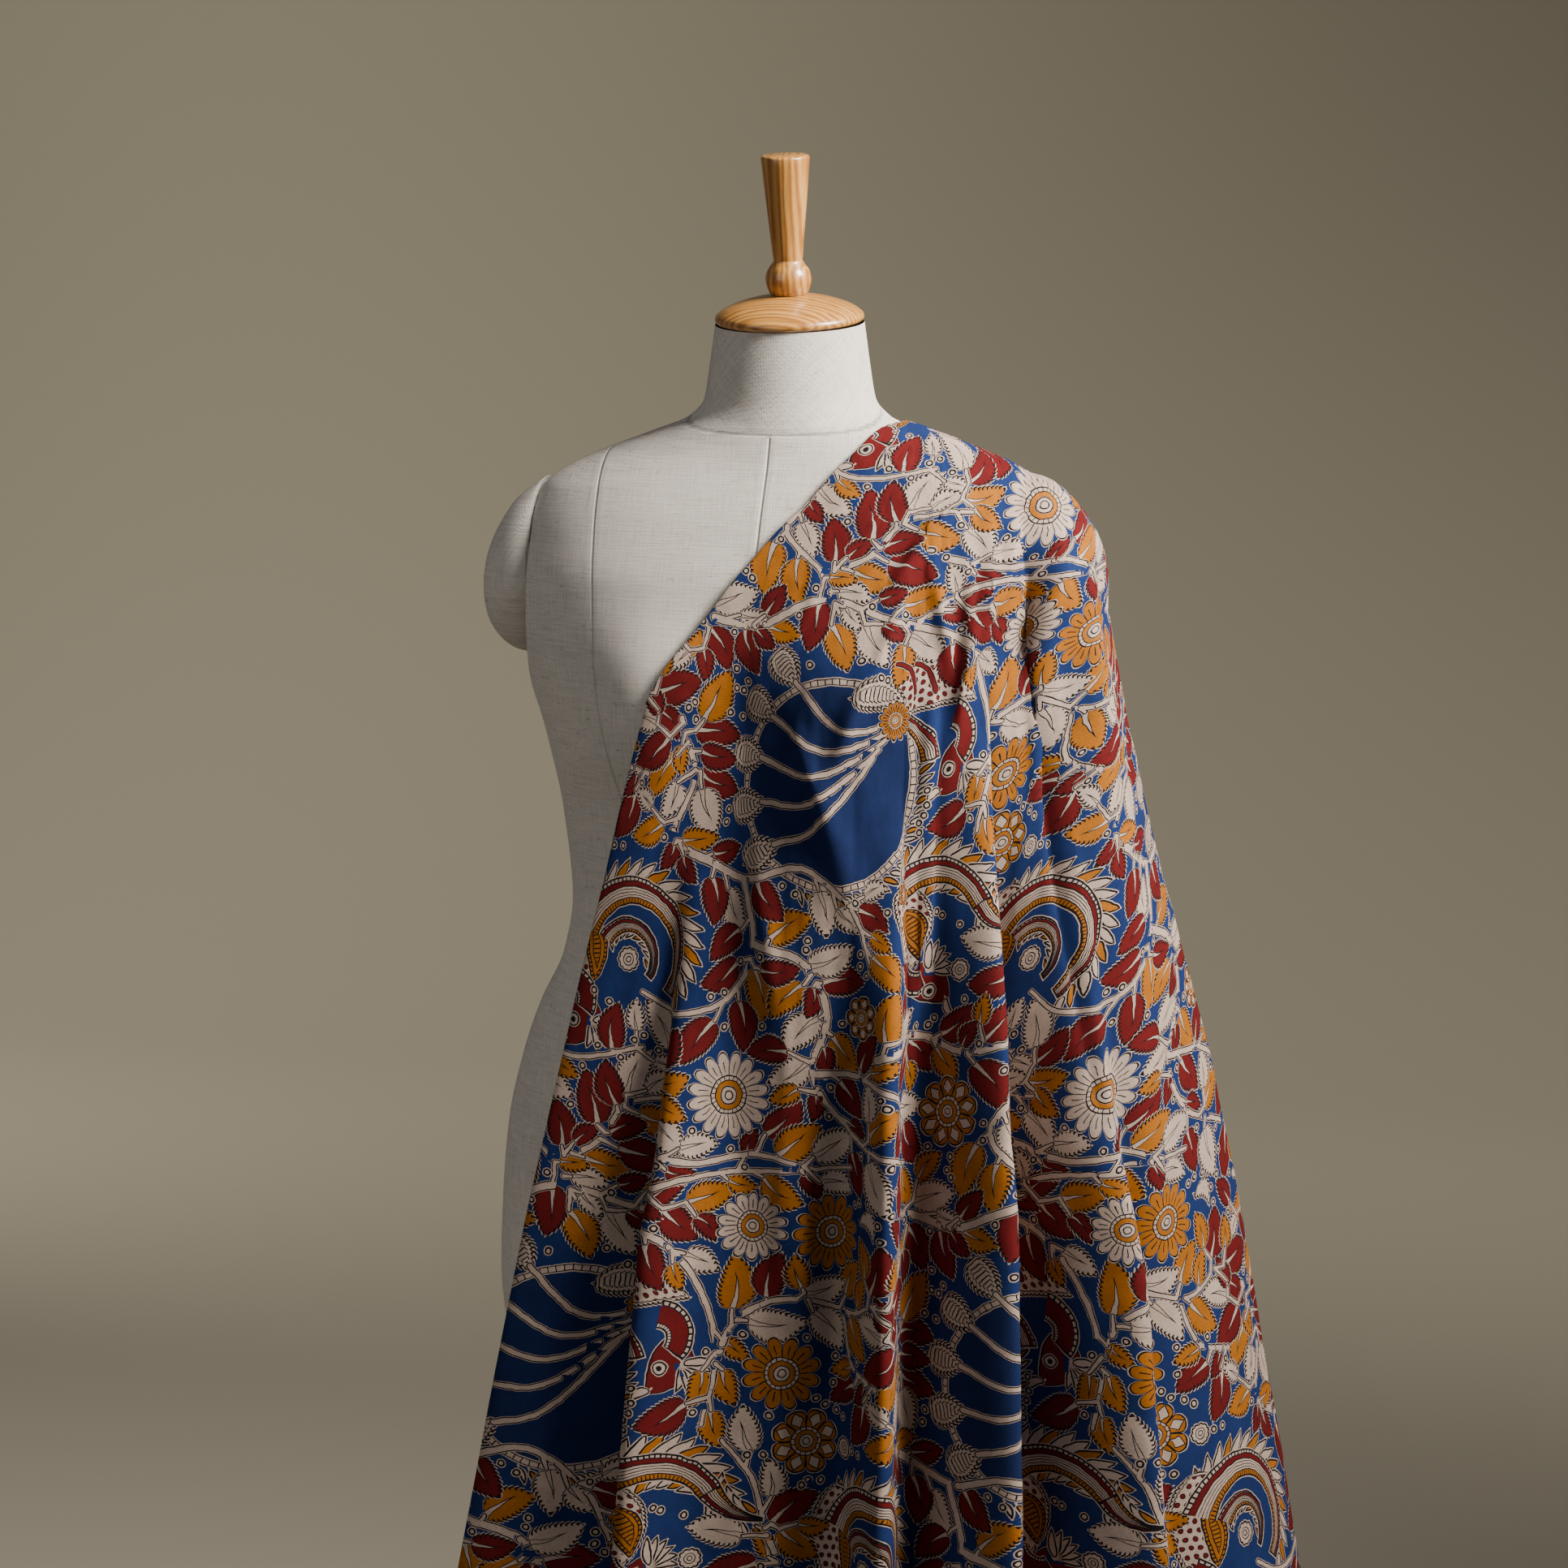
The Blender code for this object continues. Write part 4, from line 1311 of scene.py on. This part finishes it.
@dataclass(frozen=True)
class FormShape:
    """The form's shape as formulas over its tables."""

    armhole_x: float = 0.186
    armhole_from: float = 1.150
    bottom: float = 0.600
    neck_base: float = 1.360
    neck_top: float = 1.4295
    neck_tilt: float = radians(6.5)
    bust: tuple[float, float, float, float, float] = (0.082, 1.150, 0.024, 0.062, 0.060)
    stump_ease: float = 1.05
    stump_lap: float = 0.001

    def depth(self, x: np.ndarray, z: Any, front: np.ndarray) -> np.ndarray:
        """The torso's depth in front of or behind y = 0 at a place across it."""
        half_width, ahead, behind, power = (
            table_column(TORSO_SECTIONS, name, z) for name in ("half_width", "front", "back", "power")
        )
        inside = np.maximum(1.0 - np.abs(x / half_width) ** power, 0.0)
        bust_x, bust_z, rise, width, height = self.bust
        swell = rise * np.exp(-(((np.abs(x) - bust_x) / width) ** 2) - ((z - bust_z) / height) ** 2)
        flat = np.where(front, ahead, behind)
        return flat * inside ** (1.0 / power) + np.where(front, swell, 0.0) * np.sqrt(inside)

    def ring(self, z: float, angles: np.ndarray) -> np.ndarray:
        """The points of one section of the torso; the neck's sections tilt forward."""
        power = table_column(TORSO_SECTIONS, "power", z)
        half_width = table_column(TORSO_SECTIONS, "half_width", z)
        x = half_width * np.sign(np.cos(angles)) * np.abs(np.cos(angles)) ** (2.0 / power)
        front = np.sin(angles) < 0.0
        y = np.where(front, -1.0, 1.0) * self.depth(x, z, front)
        if z > self.armhole_from:
            x = np.clip(x, -self.armhole_x, self.armhole_x)
        along = max(0.0, (z - self.neck_base) / (self.neck_top - self.neck_base))
        return np.stack([x, y, z + y * tan(self.neck_tilt * along)], axis=1)

    def inside(self, x: np.ndarray, y: np.ndarray, z: np.ndarray) -> np.ndarray:
        """Whether points lie in the torso or in the left arm stump."""
        in_torso = np.abs(y) <= self.depth(x, z, y < 0.0)
        in_torso &= np.abs(x) < table_column(TORSO_SECTIONS, "half_width", z)
        in_torso &= (x <= self.armhole_x) | (z < self.armhole_from)
        top, bottom, depth = (
            table_column(STUMP_SECTIONS, name, x, "reach") for name in ("top", "bottom", "half_depth")
        )
        up = (z - (top + bottom) / 2) / ((top - bottom) / 2)
        in_stump = (y / depth) ** 2 + up * up <= self.stump_ease**2
        in_stump &= (x > self.armhole_x - self.stump_lap) & (x <= STUMP_SECTIONS[-1].reach + self.stump_lap)
        return in_torso | in_stump


@dataclass
class LinenForm:
    """The padded torso with its neck, and the two arm stumps."""

    shape: FormShape
    linen: bpy.types.Material
    segments: int = 300
    rings: int = 250
    stump_segments: int = 120
    stump_rings: int = 44
    stump_closing: Place = (0.66, 0.50)
    stump_seam: float = 0.6
    no_seam: float = 50.0
    neck_seam: Place = (1.3660, 0.26)
    princess_top: float = 1.356

    def build(self) -> None:
        """Build the three pieces."""
        self.torso()
        self.stump("arm_stump_left", 1)
        self.stump("arm_stump_right", -1)

    def torso(self) -> None:
        """Build the torso; its neck seam is lower in front, its princess seams curve."""
        shape = self.shape
        levels = (shape.bottom, 0.622, 1.240, 1.324, 1.374, shape.neck_top)
        heights = smooth((0.0, 0.05, 0.58, 0.80, 0.92, 1.0), levels, np.linspace(0.0, 1.0, self.rings))
        angles = pi / 2 + round_angles(self.segments)
        points = np.array([shape.ring(float(z), angles) for z in heights]).transpose(1, 0, 2)
        x, y = points[:, :, 0], points[:, :, 1]
        z = np.broadcast_to(heights[None, :], x.shape)
        run = run_along(points)
        up = np.broadcast_to(run_along(points[0])[None, :], x.shape)
        neck = z - self.neck_seam[0] - self.neck_seam[1] * y
        place = np.stack([(run - run[self.segments // 2]) / MM, up / MM, neck > 0.0], axis=2)
        bends = (0.600, 0.750, 0.900, 1.000, 1.150, 1.260, 1.345)
        princess = np.abs(x) - smooth(bends, (0.112, 0.116, 0.096, 0.086, 0.112, 0.126, 0.133), z)
        away = self.no_seam * MM
        princess, middle = np.where(z > self.princess_top, away, princess), np.where(neck > 0.0, away, x)
        vertices = np.vstack([points.reshape(-1, 3), (0.0, 0.0, shape.bottom)])
        piece = add_mesh("form_torso", vertices, tube_faces(self.segments, self.rings, 1), self.linen)
        store_vectors(piece.data, "linen_place", place, np.zeros(3))
        seams = np.stack([middle, princess, neck], axis=2) / MM
        store_vectors(piece.data, "seams", seams, [self.no_seam] * 3)
        seat(piece, "torso")

    def stump(self, node: str, side: int) -> None:
        """Build an arm stump, seated on the flat of its armhole."""
        table = np.array(STUMP_SECTIONS)
        rows = spline(table, np.linspace(0.0, len(table) - 1, self.stump_rings))
        reach, top, bottom, half_depth = rows.T
        angles = round_angles(self.stump_segments)[:, None]
        height = (top + bottom) / 2 + (top - bottom) / 2 * np.sin(angles)
        grid = np.stack(np.broadcast_arrays(side * reach, half_depth * np.cos(angles), height), axis=2)
        centre = np.array((side * reach[-1], 0.0, (top[-1] + bottom[-1]) / 2))
        closing = [centre + (grid[:, -1:] - centre) * share for share in self.stump_closing]
        grid = np.concatenate([grid, *closing], axis=1)
        count = grid.shape[1]
        root = (side * reach[0], 0.0, (top[0] + bottom[0]) / 2)
        faces = tube_faces(self.stump_segments, count, 2)
        piece = add_mesh("form_" + node, np.vstack([grid.reshape(-1, 3), root, centre]), faces, self.linen)
        place = np.stack([grid[:, :, 1] / MM, grid[:, :, 2] / MM, np.zeros_like(grid[:, :, 0])], axis=2)
        ends = [(0.0, root[2] / MM, 0.0), (0.0, centre[2] / MM, 0.0)]
        seams = np.full(grid.shape, self.no_seam)
        seams[:, :, 2] = run_along(grid[0]) / MM - self.stump_seam
        store_vectors(piece.data, "linen_place", place, ends)
        store_vectors(piece.data, "seams", seams, np.full((2, 3), self.no_seam))
        seat(piece, node)


@dataclass
class TurnedPiece:
    """A turned piece about an axis."""

    node: str
    profile: Sequence[Turned]
    slot: str
    material: bpy.types.Material
    place: Matrix
    segments: int = 128
    sharp: float = radians(50.0)

    def rounded(self) -> np.ndarray:
        """The profile with its corners rounded and its straight runs kept."""
        rail = np.array(self.profile)
        for _ in range(2):
            near, far = rail[:-1] * 0.75 + rail[1:] * 0.25, rail[:-1] * 0.25 + rail[1:] * 0.75
            inner = np.stack([near, far], axis=1).reshape(-1, 2)
            rail = np.vstack([rail[:1], inner[1:-1], rail[-1:]])
        return rail

    def build(self) -> None:
        """Build it."""
        radius, height = self.rounded().T
        angles = round_angles(self.segments)[:, None]
        grid = np.stack(np.broadcast_arrays(radius * np.cos(angles), radius * np.sin(angles), height), axis=2)
        local = np.vstack([grid.reshape(-1, 3), (0, 0, height[0]), (0, 0, height[-1])])
        points = np.array([self.place @ Vector(p) for p in local])
        faces = tube_faces(self.segments, len(radius), 2)
        piece = add_mesh("turned_" + self.node, points, faces, self.material)
        piece.data.set_sharp_from_angle(angle=self.sharp)
        store_vectors(piece.data, "wood_place", local / MM)
        seat(piece, self.node)


@dataclass(frozen=True)
class Crease:
    """A soft pucker in the cloth, placed by plan angle and height."""

    angle: float
    height: float
    lean: float
    length: float
    width: float
    rise: float


CREASES = (
    Crease(303.0, 1.190, 0.25, 0.110, 0.010, 0.0050),
    Crease(312.0, 1.235, 0.55, 0.085, 0.011, 0.0045),
    Crease(322.0, 1.255, 0.80, 0.090, 0.010, 0.0040),
    Crease(334.0, 1.225, 0.40, 0.100, 0.012, 0.0050),
    Crease(296.0, 1.215, -0.20, 0.080, 0.010, 0.0028),
    Crease(345.0, 1.180, 0.15, 0.120, 0.014, 0.0045),
    Crease(262.0, 1.080, -0.35, 0.140, 0.013, 0.0030),
    Crease(246.0, 1.000, -0.20, 0.120, 0.012, 0.0028),
    Crease(287.0, 0.985, 0.20, 0.120, 0.012, 0.0032),
    Crease(318.0, 0.900, 0.10, 0.160, 0.014, 0.0038),
    Crease(256.0, 0.760, -0.12, 0.150, 0.014, 0.0035),
    Crease(340.0, 0.820, 0.12, 0.150, 0.014, 0.0040),
    Crease(385.0, 1.190, 0.35, 0.110, 0.012, 0.0045),
    Crease(410.0, 1.200, -0.30, 0.100, 0.012, 0.0040),
    Crease(284.0, 1.262, 0.95, 0.075, 0.008, 0.0026),
    Crease(297.0, 1.285, 1.15, 0.070, 0.008, 0.0024),
    Crease(309.0, 1.300, 1.25, 0.060, 0.007, 0.0022),
    Crease(276.0, 1.205, 0.55, 0.085, 0.009, 0.0026),
    Crease(266.0, 1.150, 0.35, 0.090, 0.010, 0.0028),
    Crease(255.0, 1.120, -0.50, 0.080, 0.009, 0.0026),
    Crease(330.0, 1.150, 0.20, 0.110, 0.010, 0.0036),
    Crease(290.0, 1.130, 0.15, 0.100, 0.010, 0.0030),
)


@dataclass
class DrapedCloth:
    """The printed cloth over the left shoulder, down to its hem."""

    shape: FormShape
    block: PrintBlock
    columns_per_fold: int = 16
    rows: int = 245
    hem_height: float = 0.330
    point: Place = (0.088, 1.3565)
    clearance: float = 0.0030
    lift: float = 0.0021
    ease: float = 0.004
    growth: float = 0.36
    spread_from: float = 1.10
    edge_blend: float = 0.12
    gather: float = 0.18
    front: Flare = FLARES[2]
    print_level: float = 0.85
    sheet_offset: float = 0.0010
    crease_radius: float = 0.20
    crease_gain: float = 1.8
    uneven: Place = (0.0011, 0.0004)
    smooth_from: float = 1.352
    smooth_over: float = 0.06
    flat: Place = (1.12, 1.65)
    origin: Place = (184.0, 594.0)
    roll: tuple[Place, ...] = ((0.35, -0.15), (0.50, -0.50), (0.20, -0.95), (-1.5, -1.05), (-7.0, -1.0))
    corner_rows: float = 14.0

    def levels(self, count: int) -> np.ndarray:
        """Heights from the shoulder point to the hem, closer together at the top."""
        return self.point[1] - np.linspace(0.0, 1.0, count) ** 1.6 * (self.point[1] - self.hem_height)

    def resting_radius(self) -> tuple[np.ndarray, np.ndarray, np.ndarray]:
        """How far the form reaches from the shoulder point's axis, at or above each height.

        Returns:
            The plan angles in degrees, the heights from the top down and the radii.
        """
        angles, heights = np.arange(210.0, 480.0, 2.0), self.levels(150)
        reach = np.arange(0.0, 0.340, 0.001)
        bearing = np.radians(angles)[:, None, None]
        x = self.point[0] + reach[None, None, :] * np.cos(bearing)
        y = reach[None, None, :] * np.sin(bearing)
        inside = self.shape.inside(x, y, np.maximum(heights[None, :, None], self.shape.bottom))
        radius = (inside * reach[None, None, :]).max(axis=2)
        return angles, heights, np.maximum.accumulate(radius, axis=1)

    @staticmethod
    def read_grid(grid: tuple[np.ndarray, ...], angle: np.ndarray, height: np.ndarray) -> np.ndarray:
        """The resting radius at a plan angle and a height, between the grid's points."""
        angles, heights, radii = grid
        a = np.clip((angle - angles[0]) / (angles[1] - angles[0]), 0.0, len(angles) - 1.001)
        i = a.astype(int)
        h = np.clip(np.searchsorted(-heights, -height, "right") - 1, 0, len(heights) - 2)
        t = np.clip((heights[h] - height) / (heights[h] - heights[h + 1]), 0.0, 1.0)
        along = a - i
        low, high = (radii[i, k] * (1 - along) + radii[i + 1, k] * along for k in (h, h + 1))
        return low * (1 - t) + high * t

    def fold_rows(self, z: np.ndarray) -> tuple[np.ndarray, np.ndarray]:
        """Plan angle and rise of each crest and trough, and of the two edges."""
        level = np.clip((self.spread_from - z) / (self.spread_from - self.hem_height), 0.0, 1.0)
        upper = np.clip((z - self.spread_from) / self.edge_blend, 0.0, 1.0)
        front, back = (table_column(EDGE_ANGLES, name, z) for name in ("front", "back"))
        hem_front, hem_back = EDGE_ANGLES[0].front, EDGE_ANGLES[0].back
        angles, rises = [front], [np.zeros_like(z)]
        for fold in FOLDS:
            share = np.clip((fold.start - z) / self.growth, 0.0, 1.0)
            free = fold.high_angle + (fold.hem_angle - fold.high_angle) * level
            place = (free - hem_front) / (hem_back - hem_front)
            angles.append(free * (1 - upper) + (front + (back - front) * place) * upper)
            rises.append(fold.rise * share * share * (3 - 2 * share))
        return np.array([*angles, back]), np.array([*rises, np.zeros_like(z)])

    def level_grid(self, heights: np.ndarray) -> tuple[np.ndarray, np.ndarray, np.ndarray]:
        """The solid's inner face at level heights, column by column.

        Returns:
            Its points, their plan angles, and the radius straight in front at each height.
        """
        grid = self.resting_radius()
        places = np.arange((len(FOLDS) + 1) * self.columns_per_fold + 1) / self.columns_per_fold
        angle, rise = (spline(rows, places) for rows in self.fold_rows(heights))
        z = np.broadcast_to(heights[None, :], angle.shape)
        rest = np.array([self.read_grid(grid, a, heights) for a in angle])
        start, hem = (table_column(FLARES, name, angle, "angle") for name in ("start", "hem"))
        fall = np.maximum(start - z, 0.0) / (start - self.hem_height)
        clear = self.clearance * np.clip((self.point[1] - z) / self.ease, 0.0, 1.0)
        radius = np.maximum(rest + hem * fall + rise, rest) + clear
        x = self.point[0] + radius * np.cos(np.radians(angle))
        y = radius * np.sin(np.radians(angle))
        ahead = self.read_grid(grid, np.full_like(heights, self.front.angle), heights)
        drop = np.maximum(self.front.start - heights, 0.0) / (self.front.start - self.hem_height)
        return np.stack([x, y, z + self.lift], axis=2), angle, ahead + self.front.hem * drop

    def print_places(
        self, points: np.ndarray, angle: np.ndarray, ahead: np.ndarray, heights: np.ndarray
    ) -> np.ndarray:
        """Each point's place on the flat print, in millimetres."""
        step = np.linalg.norm(np.diff(points, axis=0), axis=2)
        reference = step[:, int(np.argmin(np.abs(heights - self.print_level)))][:, None]
        power = 0.5 + 0.5 * np.clip((heights - self.spread_from) / self.gather, 0.0, 1.0)[None, :]
        step = np.maximum(step, 1e-6) ** power * reference ** (1.0 - power)
        run = np.concatenate([np.zeros((1, len(heights))), np.cumsum(step, axis=0)])
        middle = [np.interp(self.front.angle, a, r) for a, r in zip(angle.T, run.T)]
        down = np.broadcast_to(run_along(np.stack([ahead, heights], axis=1))[None, :], run.shape)
        return np.stack([(run - middle) / MM + self.origin[0], self.origin[1] - down / MM], axis=2)

    def sheet(self) -> tuple[np.ndarray, np.ndarray, np.ndarray]:
        """The sheet's points, print places and plan angles, even down each column."""
        heights = self.levels(420)
        points, angle, ahead = self.level_grid(heights)
        places = self.print_places(points, angle, ahead, heights)
        shares = np.linspace(0.0, 1.0, self.rows + 1) ** 1.12
        found = []
        for column in np.concatenate([points, places, angle[:, :, None]], axis=2):
            along = run_along(column[:, :3])
            found.append([np.interp(shares * along[-1], along, values) for values in column.T])
        fine = np.array(found).transpose(0, 2, 1)
        return fine[:, :, :3], fine[:, :, 3:5], fine[:, :, 5]

    @staticmethod
    def normals(points: np.ndarray) -> np.ndarray:
        """The outward direction at each point of the sheet."""
        normal = np.cross(np.gradient(points, axis=1), np.gradient(points, axis=0))
        normal[:, 0] = (0.0, 0.0, 1.0)
        return normal / np.maximum(np.linalg.norm(normal, axis=2, keepdims=True), 1e-12)

    def crease(self, points: np.ndarray, angle: np.ndarray, places: np.ndarray) -> np.ndarray:
        """How far soft creases and the cloth's unevenness lift each point."""
        z = points[:, :, 2]
        lift = np.zeros_like(z)
        for c in CREASES:
            across, up = np.radians(angle - c.angle) * self.crease_radius, z - c.height
            along = up * cos(c.lean) + across * sin(c.lean)
            beside = across * cos(c.lean) - up * sin(c.lean)
            shape = np.exp(-((along / (c.length * 0.5)) ** 2) - (beside / c.width) ** 2)
            lift += self.crease_gain * c.rise * shape
        u, w = places[:, :, 0], places[:, :, 1]
        slow = np.sin(u * 0.031 + 1.3) * np.sin(w * 0.017 + 0.4) + 0.6 * np.sin(u * 0.053 - w * 0.029)
        quick = np.sin(u * 0.11 + 0.7 * np.sin(w * 0.021)) * np.sin(w * 0.043 + 2.0)
        share = np.clip((self.smooth_from - z) / self.smooth_over, 0.0, 1.0)
        return (lift + self.uneven[0] * (slow + 1.6) * 0.5 + self.uneven[1] * (quick + 1.0)) * share

    def build(self, cotton: bpy.types.Material) -> None:
        """Build the cloth with its rolled hem."""
        points, places, angle = self.sheet()
        outward = self.normals(points)
        lift = self.sheet_offset + self.crease(points, angle, places)
        surface = points + outward * lift[:, :, None]
        surface[:, 0] = surface[:, 0].mean(axis=0)
        grid, flat = self.with_hem(surface, places, outward)
        quads = grid_quads(*grid.shape[:2], False)
        corners = flat.reshape(-1, 2)[quads]
        centres = corners.mean(axis=1)
        reach = np.linalg.norm(corners - centres[:, None, :], axis=2).max(axis=1)
        piece = add_mesh("cloth", grid.reshape(-1, 3), quads[:, ::-1].tolist(), cotton)
        store_vectors(piece.data, "print_place", np.pad(flat, ((0, 0), (0, 0), (0, 1))))
        PrintMap(self.block, centres, reach).write(piece.data)
        seat(piece, "kalamkari_cloth")

    def with_hem(
        self, surface: np.ndarray, places: np.ndarray, outward: np.ndarray
    ) -> tuple[np.ndarray, np.ndarray]:
        """Add the rolled hem: rows under the lower edge, then columns behind both sides."""
        down = surface[:, -1] - surface[:, -2]
        down /= np.linalg.norm(down, axis=1, keepdims=True)
        extra = [surface[:, -1] + (down * a + outward[:, -1] * b) * MM for a, b in self.roll]
        more = [places[:, -1] + (0.0, -abs(a) - 0.5) for a, _ in self.roll]
        grid = np.concatenate([surface, np.stack(extra, axis=1)], axis=1)
        flat = np.concatenate([places, np.stack(more, axis=1)], axis=1)
        normal = self.normals(grid)
        share = np.clip(np.arange(grid.shape[1]) / self.corner_rows, 0.0, 1.0)[:, None]
        sides = []
        for side, near, following in ((-1, 0, 1), (1, -1, -2)):
            away = grid[near] - grid[following]
            away /= np.maximum(np.linalg.norm(away, axis=1, keepdims=True), 1e-9)
            extra = [grid[near] + (away * a + normal[near] * b * share) * MM * share for a, b in self.roll]
            more = [flat[near] + (side * (abs(a) + 0.5), 0.0) for a, _ in self.roll]
            sides.append((np.stack(extra)[::side], np.stack(more)[::side]))
        (first, first_flat), (last, last_flat) = sides
        return np.concatenate([first, grid, last]), np.concatenate([first_flat, flat, last_flat])


class Light(Enum):
    """The studio's lamps: place, target, width, height, watts, colour and spread in degrees."""

    WINDOW = ((1.82, -0.30, 2.62), (0.0, 0.0, 1.42), 0.9, 1.0, 39.0, (1.0, 0.965, 0.920), 64.0)
    FILL = ((-1.6, -3.0, 2.3), (0.0, 0.0, 1.1), 2.4, 2.4, 24.0, (0.96, 0.97, 1.0), 180.0)
    BACKDROP = ((-2.8, 2.46, 2.04), (-2.5, 5.8, 0.8), 1.9, 1.4, 72.0, (1.0, 0.98, 0.86), 160.0)
    GROUND = ((0.5, 2.9, 2.9), (0.5, 3.3, 0.0), 3.4, 1.6, 31.0, (1.0, 0.98, 0.88), 120.0)
    CORNER = ((2.5, 2.88, 0.92), (2.2, 5.8, 0.37), 1.1, 1.1, 8.0, (1.0, 0.98, 0.88), 150.0)


@dataclass
class Studio:
    """Floor with a plain sweep behind it, lamps and camera."""

    azimuth: float = radians(14.0)
    distance: float = 3.2
    camera_height: float = 1.55
    target_height: float = 1.087
    lens: float = 99.5
    sensor: float = 36.0
    shift: float = -0.0036
    wall: float = 5.8
    sweep: float = 1.9
    reach: float = 8.0
    sky: Colour = (0.62, 0.64, 0.66)
    sky_strength: float = 0.150
    paper: Colour = (0.262, 0.230, 0.178)

    def build(self) -> None:
        """Build it all."""
        self.floor()
        for lamp in Light:
            self.lamp(lamp)
        world = bpy.data.worlds.new("studio")
        world.use_nodes = True
        inputs = world.node_tree.nodes["Background"].inputs
        inputs["Color"].default_value = (*self.sky, 1.0)
        inputs["Strength"].default_value = self.sky_strength
        bpy.context.scene.world = world
        data = bpy.data.cameras.new("camera")
        data.sensor_width, data.lens, data.shift_x = self.sensor, self.lens, self.shift
        place = (self.distance * sin(self.azimuth), -self.distance * cos(self.azimuth), self.camera_height)
        bpy.context.scene.camera = self.aimed(data, place, (0.0, 0.0, self.target_height))

    def floor(self) -> None:
        """A pale floor that sweeps up into a wall behind the form."""
        turns = np.linspace(0.0, pi / 2, 24)
        bend = [(self.wall - self.sweep * (1 - sin(t)), self.sweep * (1 - cos(t))) for t in turns]
        profile = [(-self.reach, 0.0), (0.0, 0.0), *bend, (self.wall, self.reach)]
        points = [(x, y, z) for x in (-self.reach, self.reach) for y, z in profile]
        faces = grid_quads(2, len(profile), False).tolist()
        paper = plain("plain_paper", self.paper, 0.95)
        add_mesh("studio_floor", np.array(points), faces, paper)

    @staticmethod
    def aimed(data: Any, place: Sequence[float], target: Sequence[float]) -> bpy.types.Object:
        """Put a lamp or camera at a place, turned to a target."""
        made = add_object(data.name, data)
        made.location = place
        made.rotation_mode = "QUATERNION"
        made.rotation_quaternion = (Vector(target) - Vector(place)).to_track_quat("-Z", "Y")
        return made

    def lamp(self, lamp: Light) -> None:
        """Add an area lamp."""
        place, target, width, height, watts, colour, spread = lamp.value
        data = bpy.data.lights.new(lamp.name.lower(), "AREA")
        data.shape = "RECTANGLE"
        data.size, data.size_y = width, height
        data.energy, data.color, data.spread = watts, colour, radians(spread)
        self.aimed(data, place, target).visible_camera = False


@dataclass
class DressForm:
    """The whole object."""

    shape: FormShape = field(default_factory=FormShape)
    gap: float = 0.0003
    base_height: float = 0.034
    pole_radius: float = 0.016
    metal: Colour = (0.030, 0.030, 0.032)

    def build(self) -> None:
        """Build the form, its stand and the cloth."""
        LinenForm(self.shape, LinenWeave().material()).build()
        wood, gap = VarnishedWood(), self.gap
        neck_top = Matrix.Translation((0.0, 0.0, self.shape.neck_top))
        neck_top = neck_top @ Matrix.Rotation(self.shape.neck_tilt, 4, "X")
        across, upright = wood.material("wood_across", 0), wood.material("wood_upright", 2)
        steel = plain("dark_steel", self.metal, 0.42, 1.0)
        length = self.shape.bottom - self.base_height - 2 * gap
        pole = (Turned(self.pole_radius, 0.0), Turned(self.pole_radius, length))
        on_cap = CAP_PROFILE[-1].height + 2 * gap
        for node, profile, slot, finish, under, height in (
            ("neck_cap", CAP_PROFILE, "varnished_wood", across, neck_top, gap),
            ("finial", FINIAL_PROFILE, "varnished_wood", upright, neck_top, on_cap),
            ("pole", pole, "dark_metal", steel, Matrix.Identity(4), self.base_height + gap),
            ("base", BASE_PROFILE, "dark_metal", steel, Matrix.Identity(4), 0.0),
        ):
            place = under @ Matrix.Translation((0.0, 0.0, height))
            TurnedPiece(node, profile, slot, finish, place).build()
        block = PrintBlock()
        block.lay()
        DrapedCloth(self.shape, block).build(CottonPrint().material())


def main() -> None:
    """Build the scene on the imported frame."""
    logging.basicConfig(level=logging.INFO, format="%(name)s: %(message)s")
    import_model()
    DressForm().build()
    Studio().build()


if __name__ == "__main__":
    main()
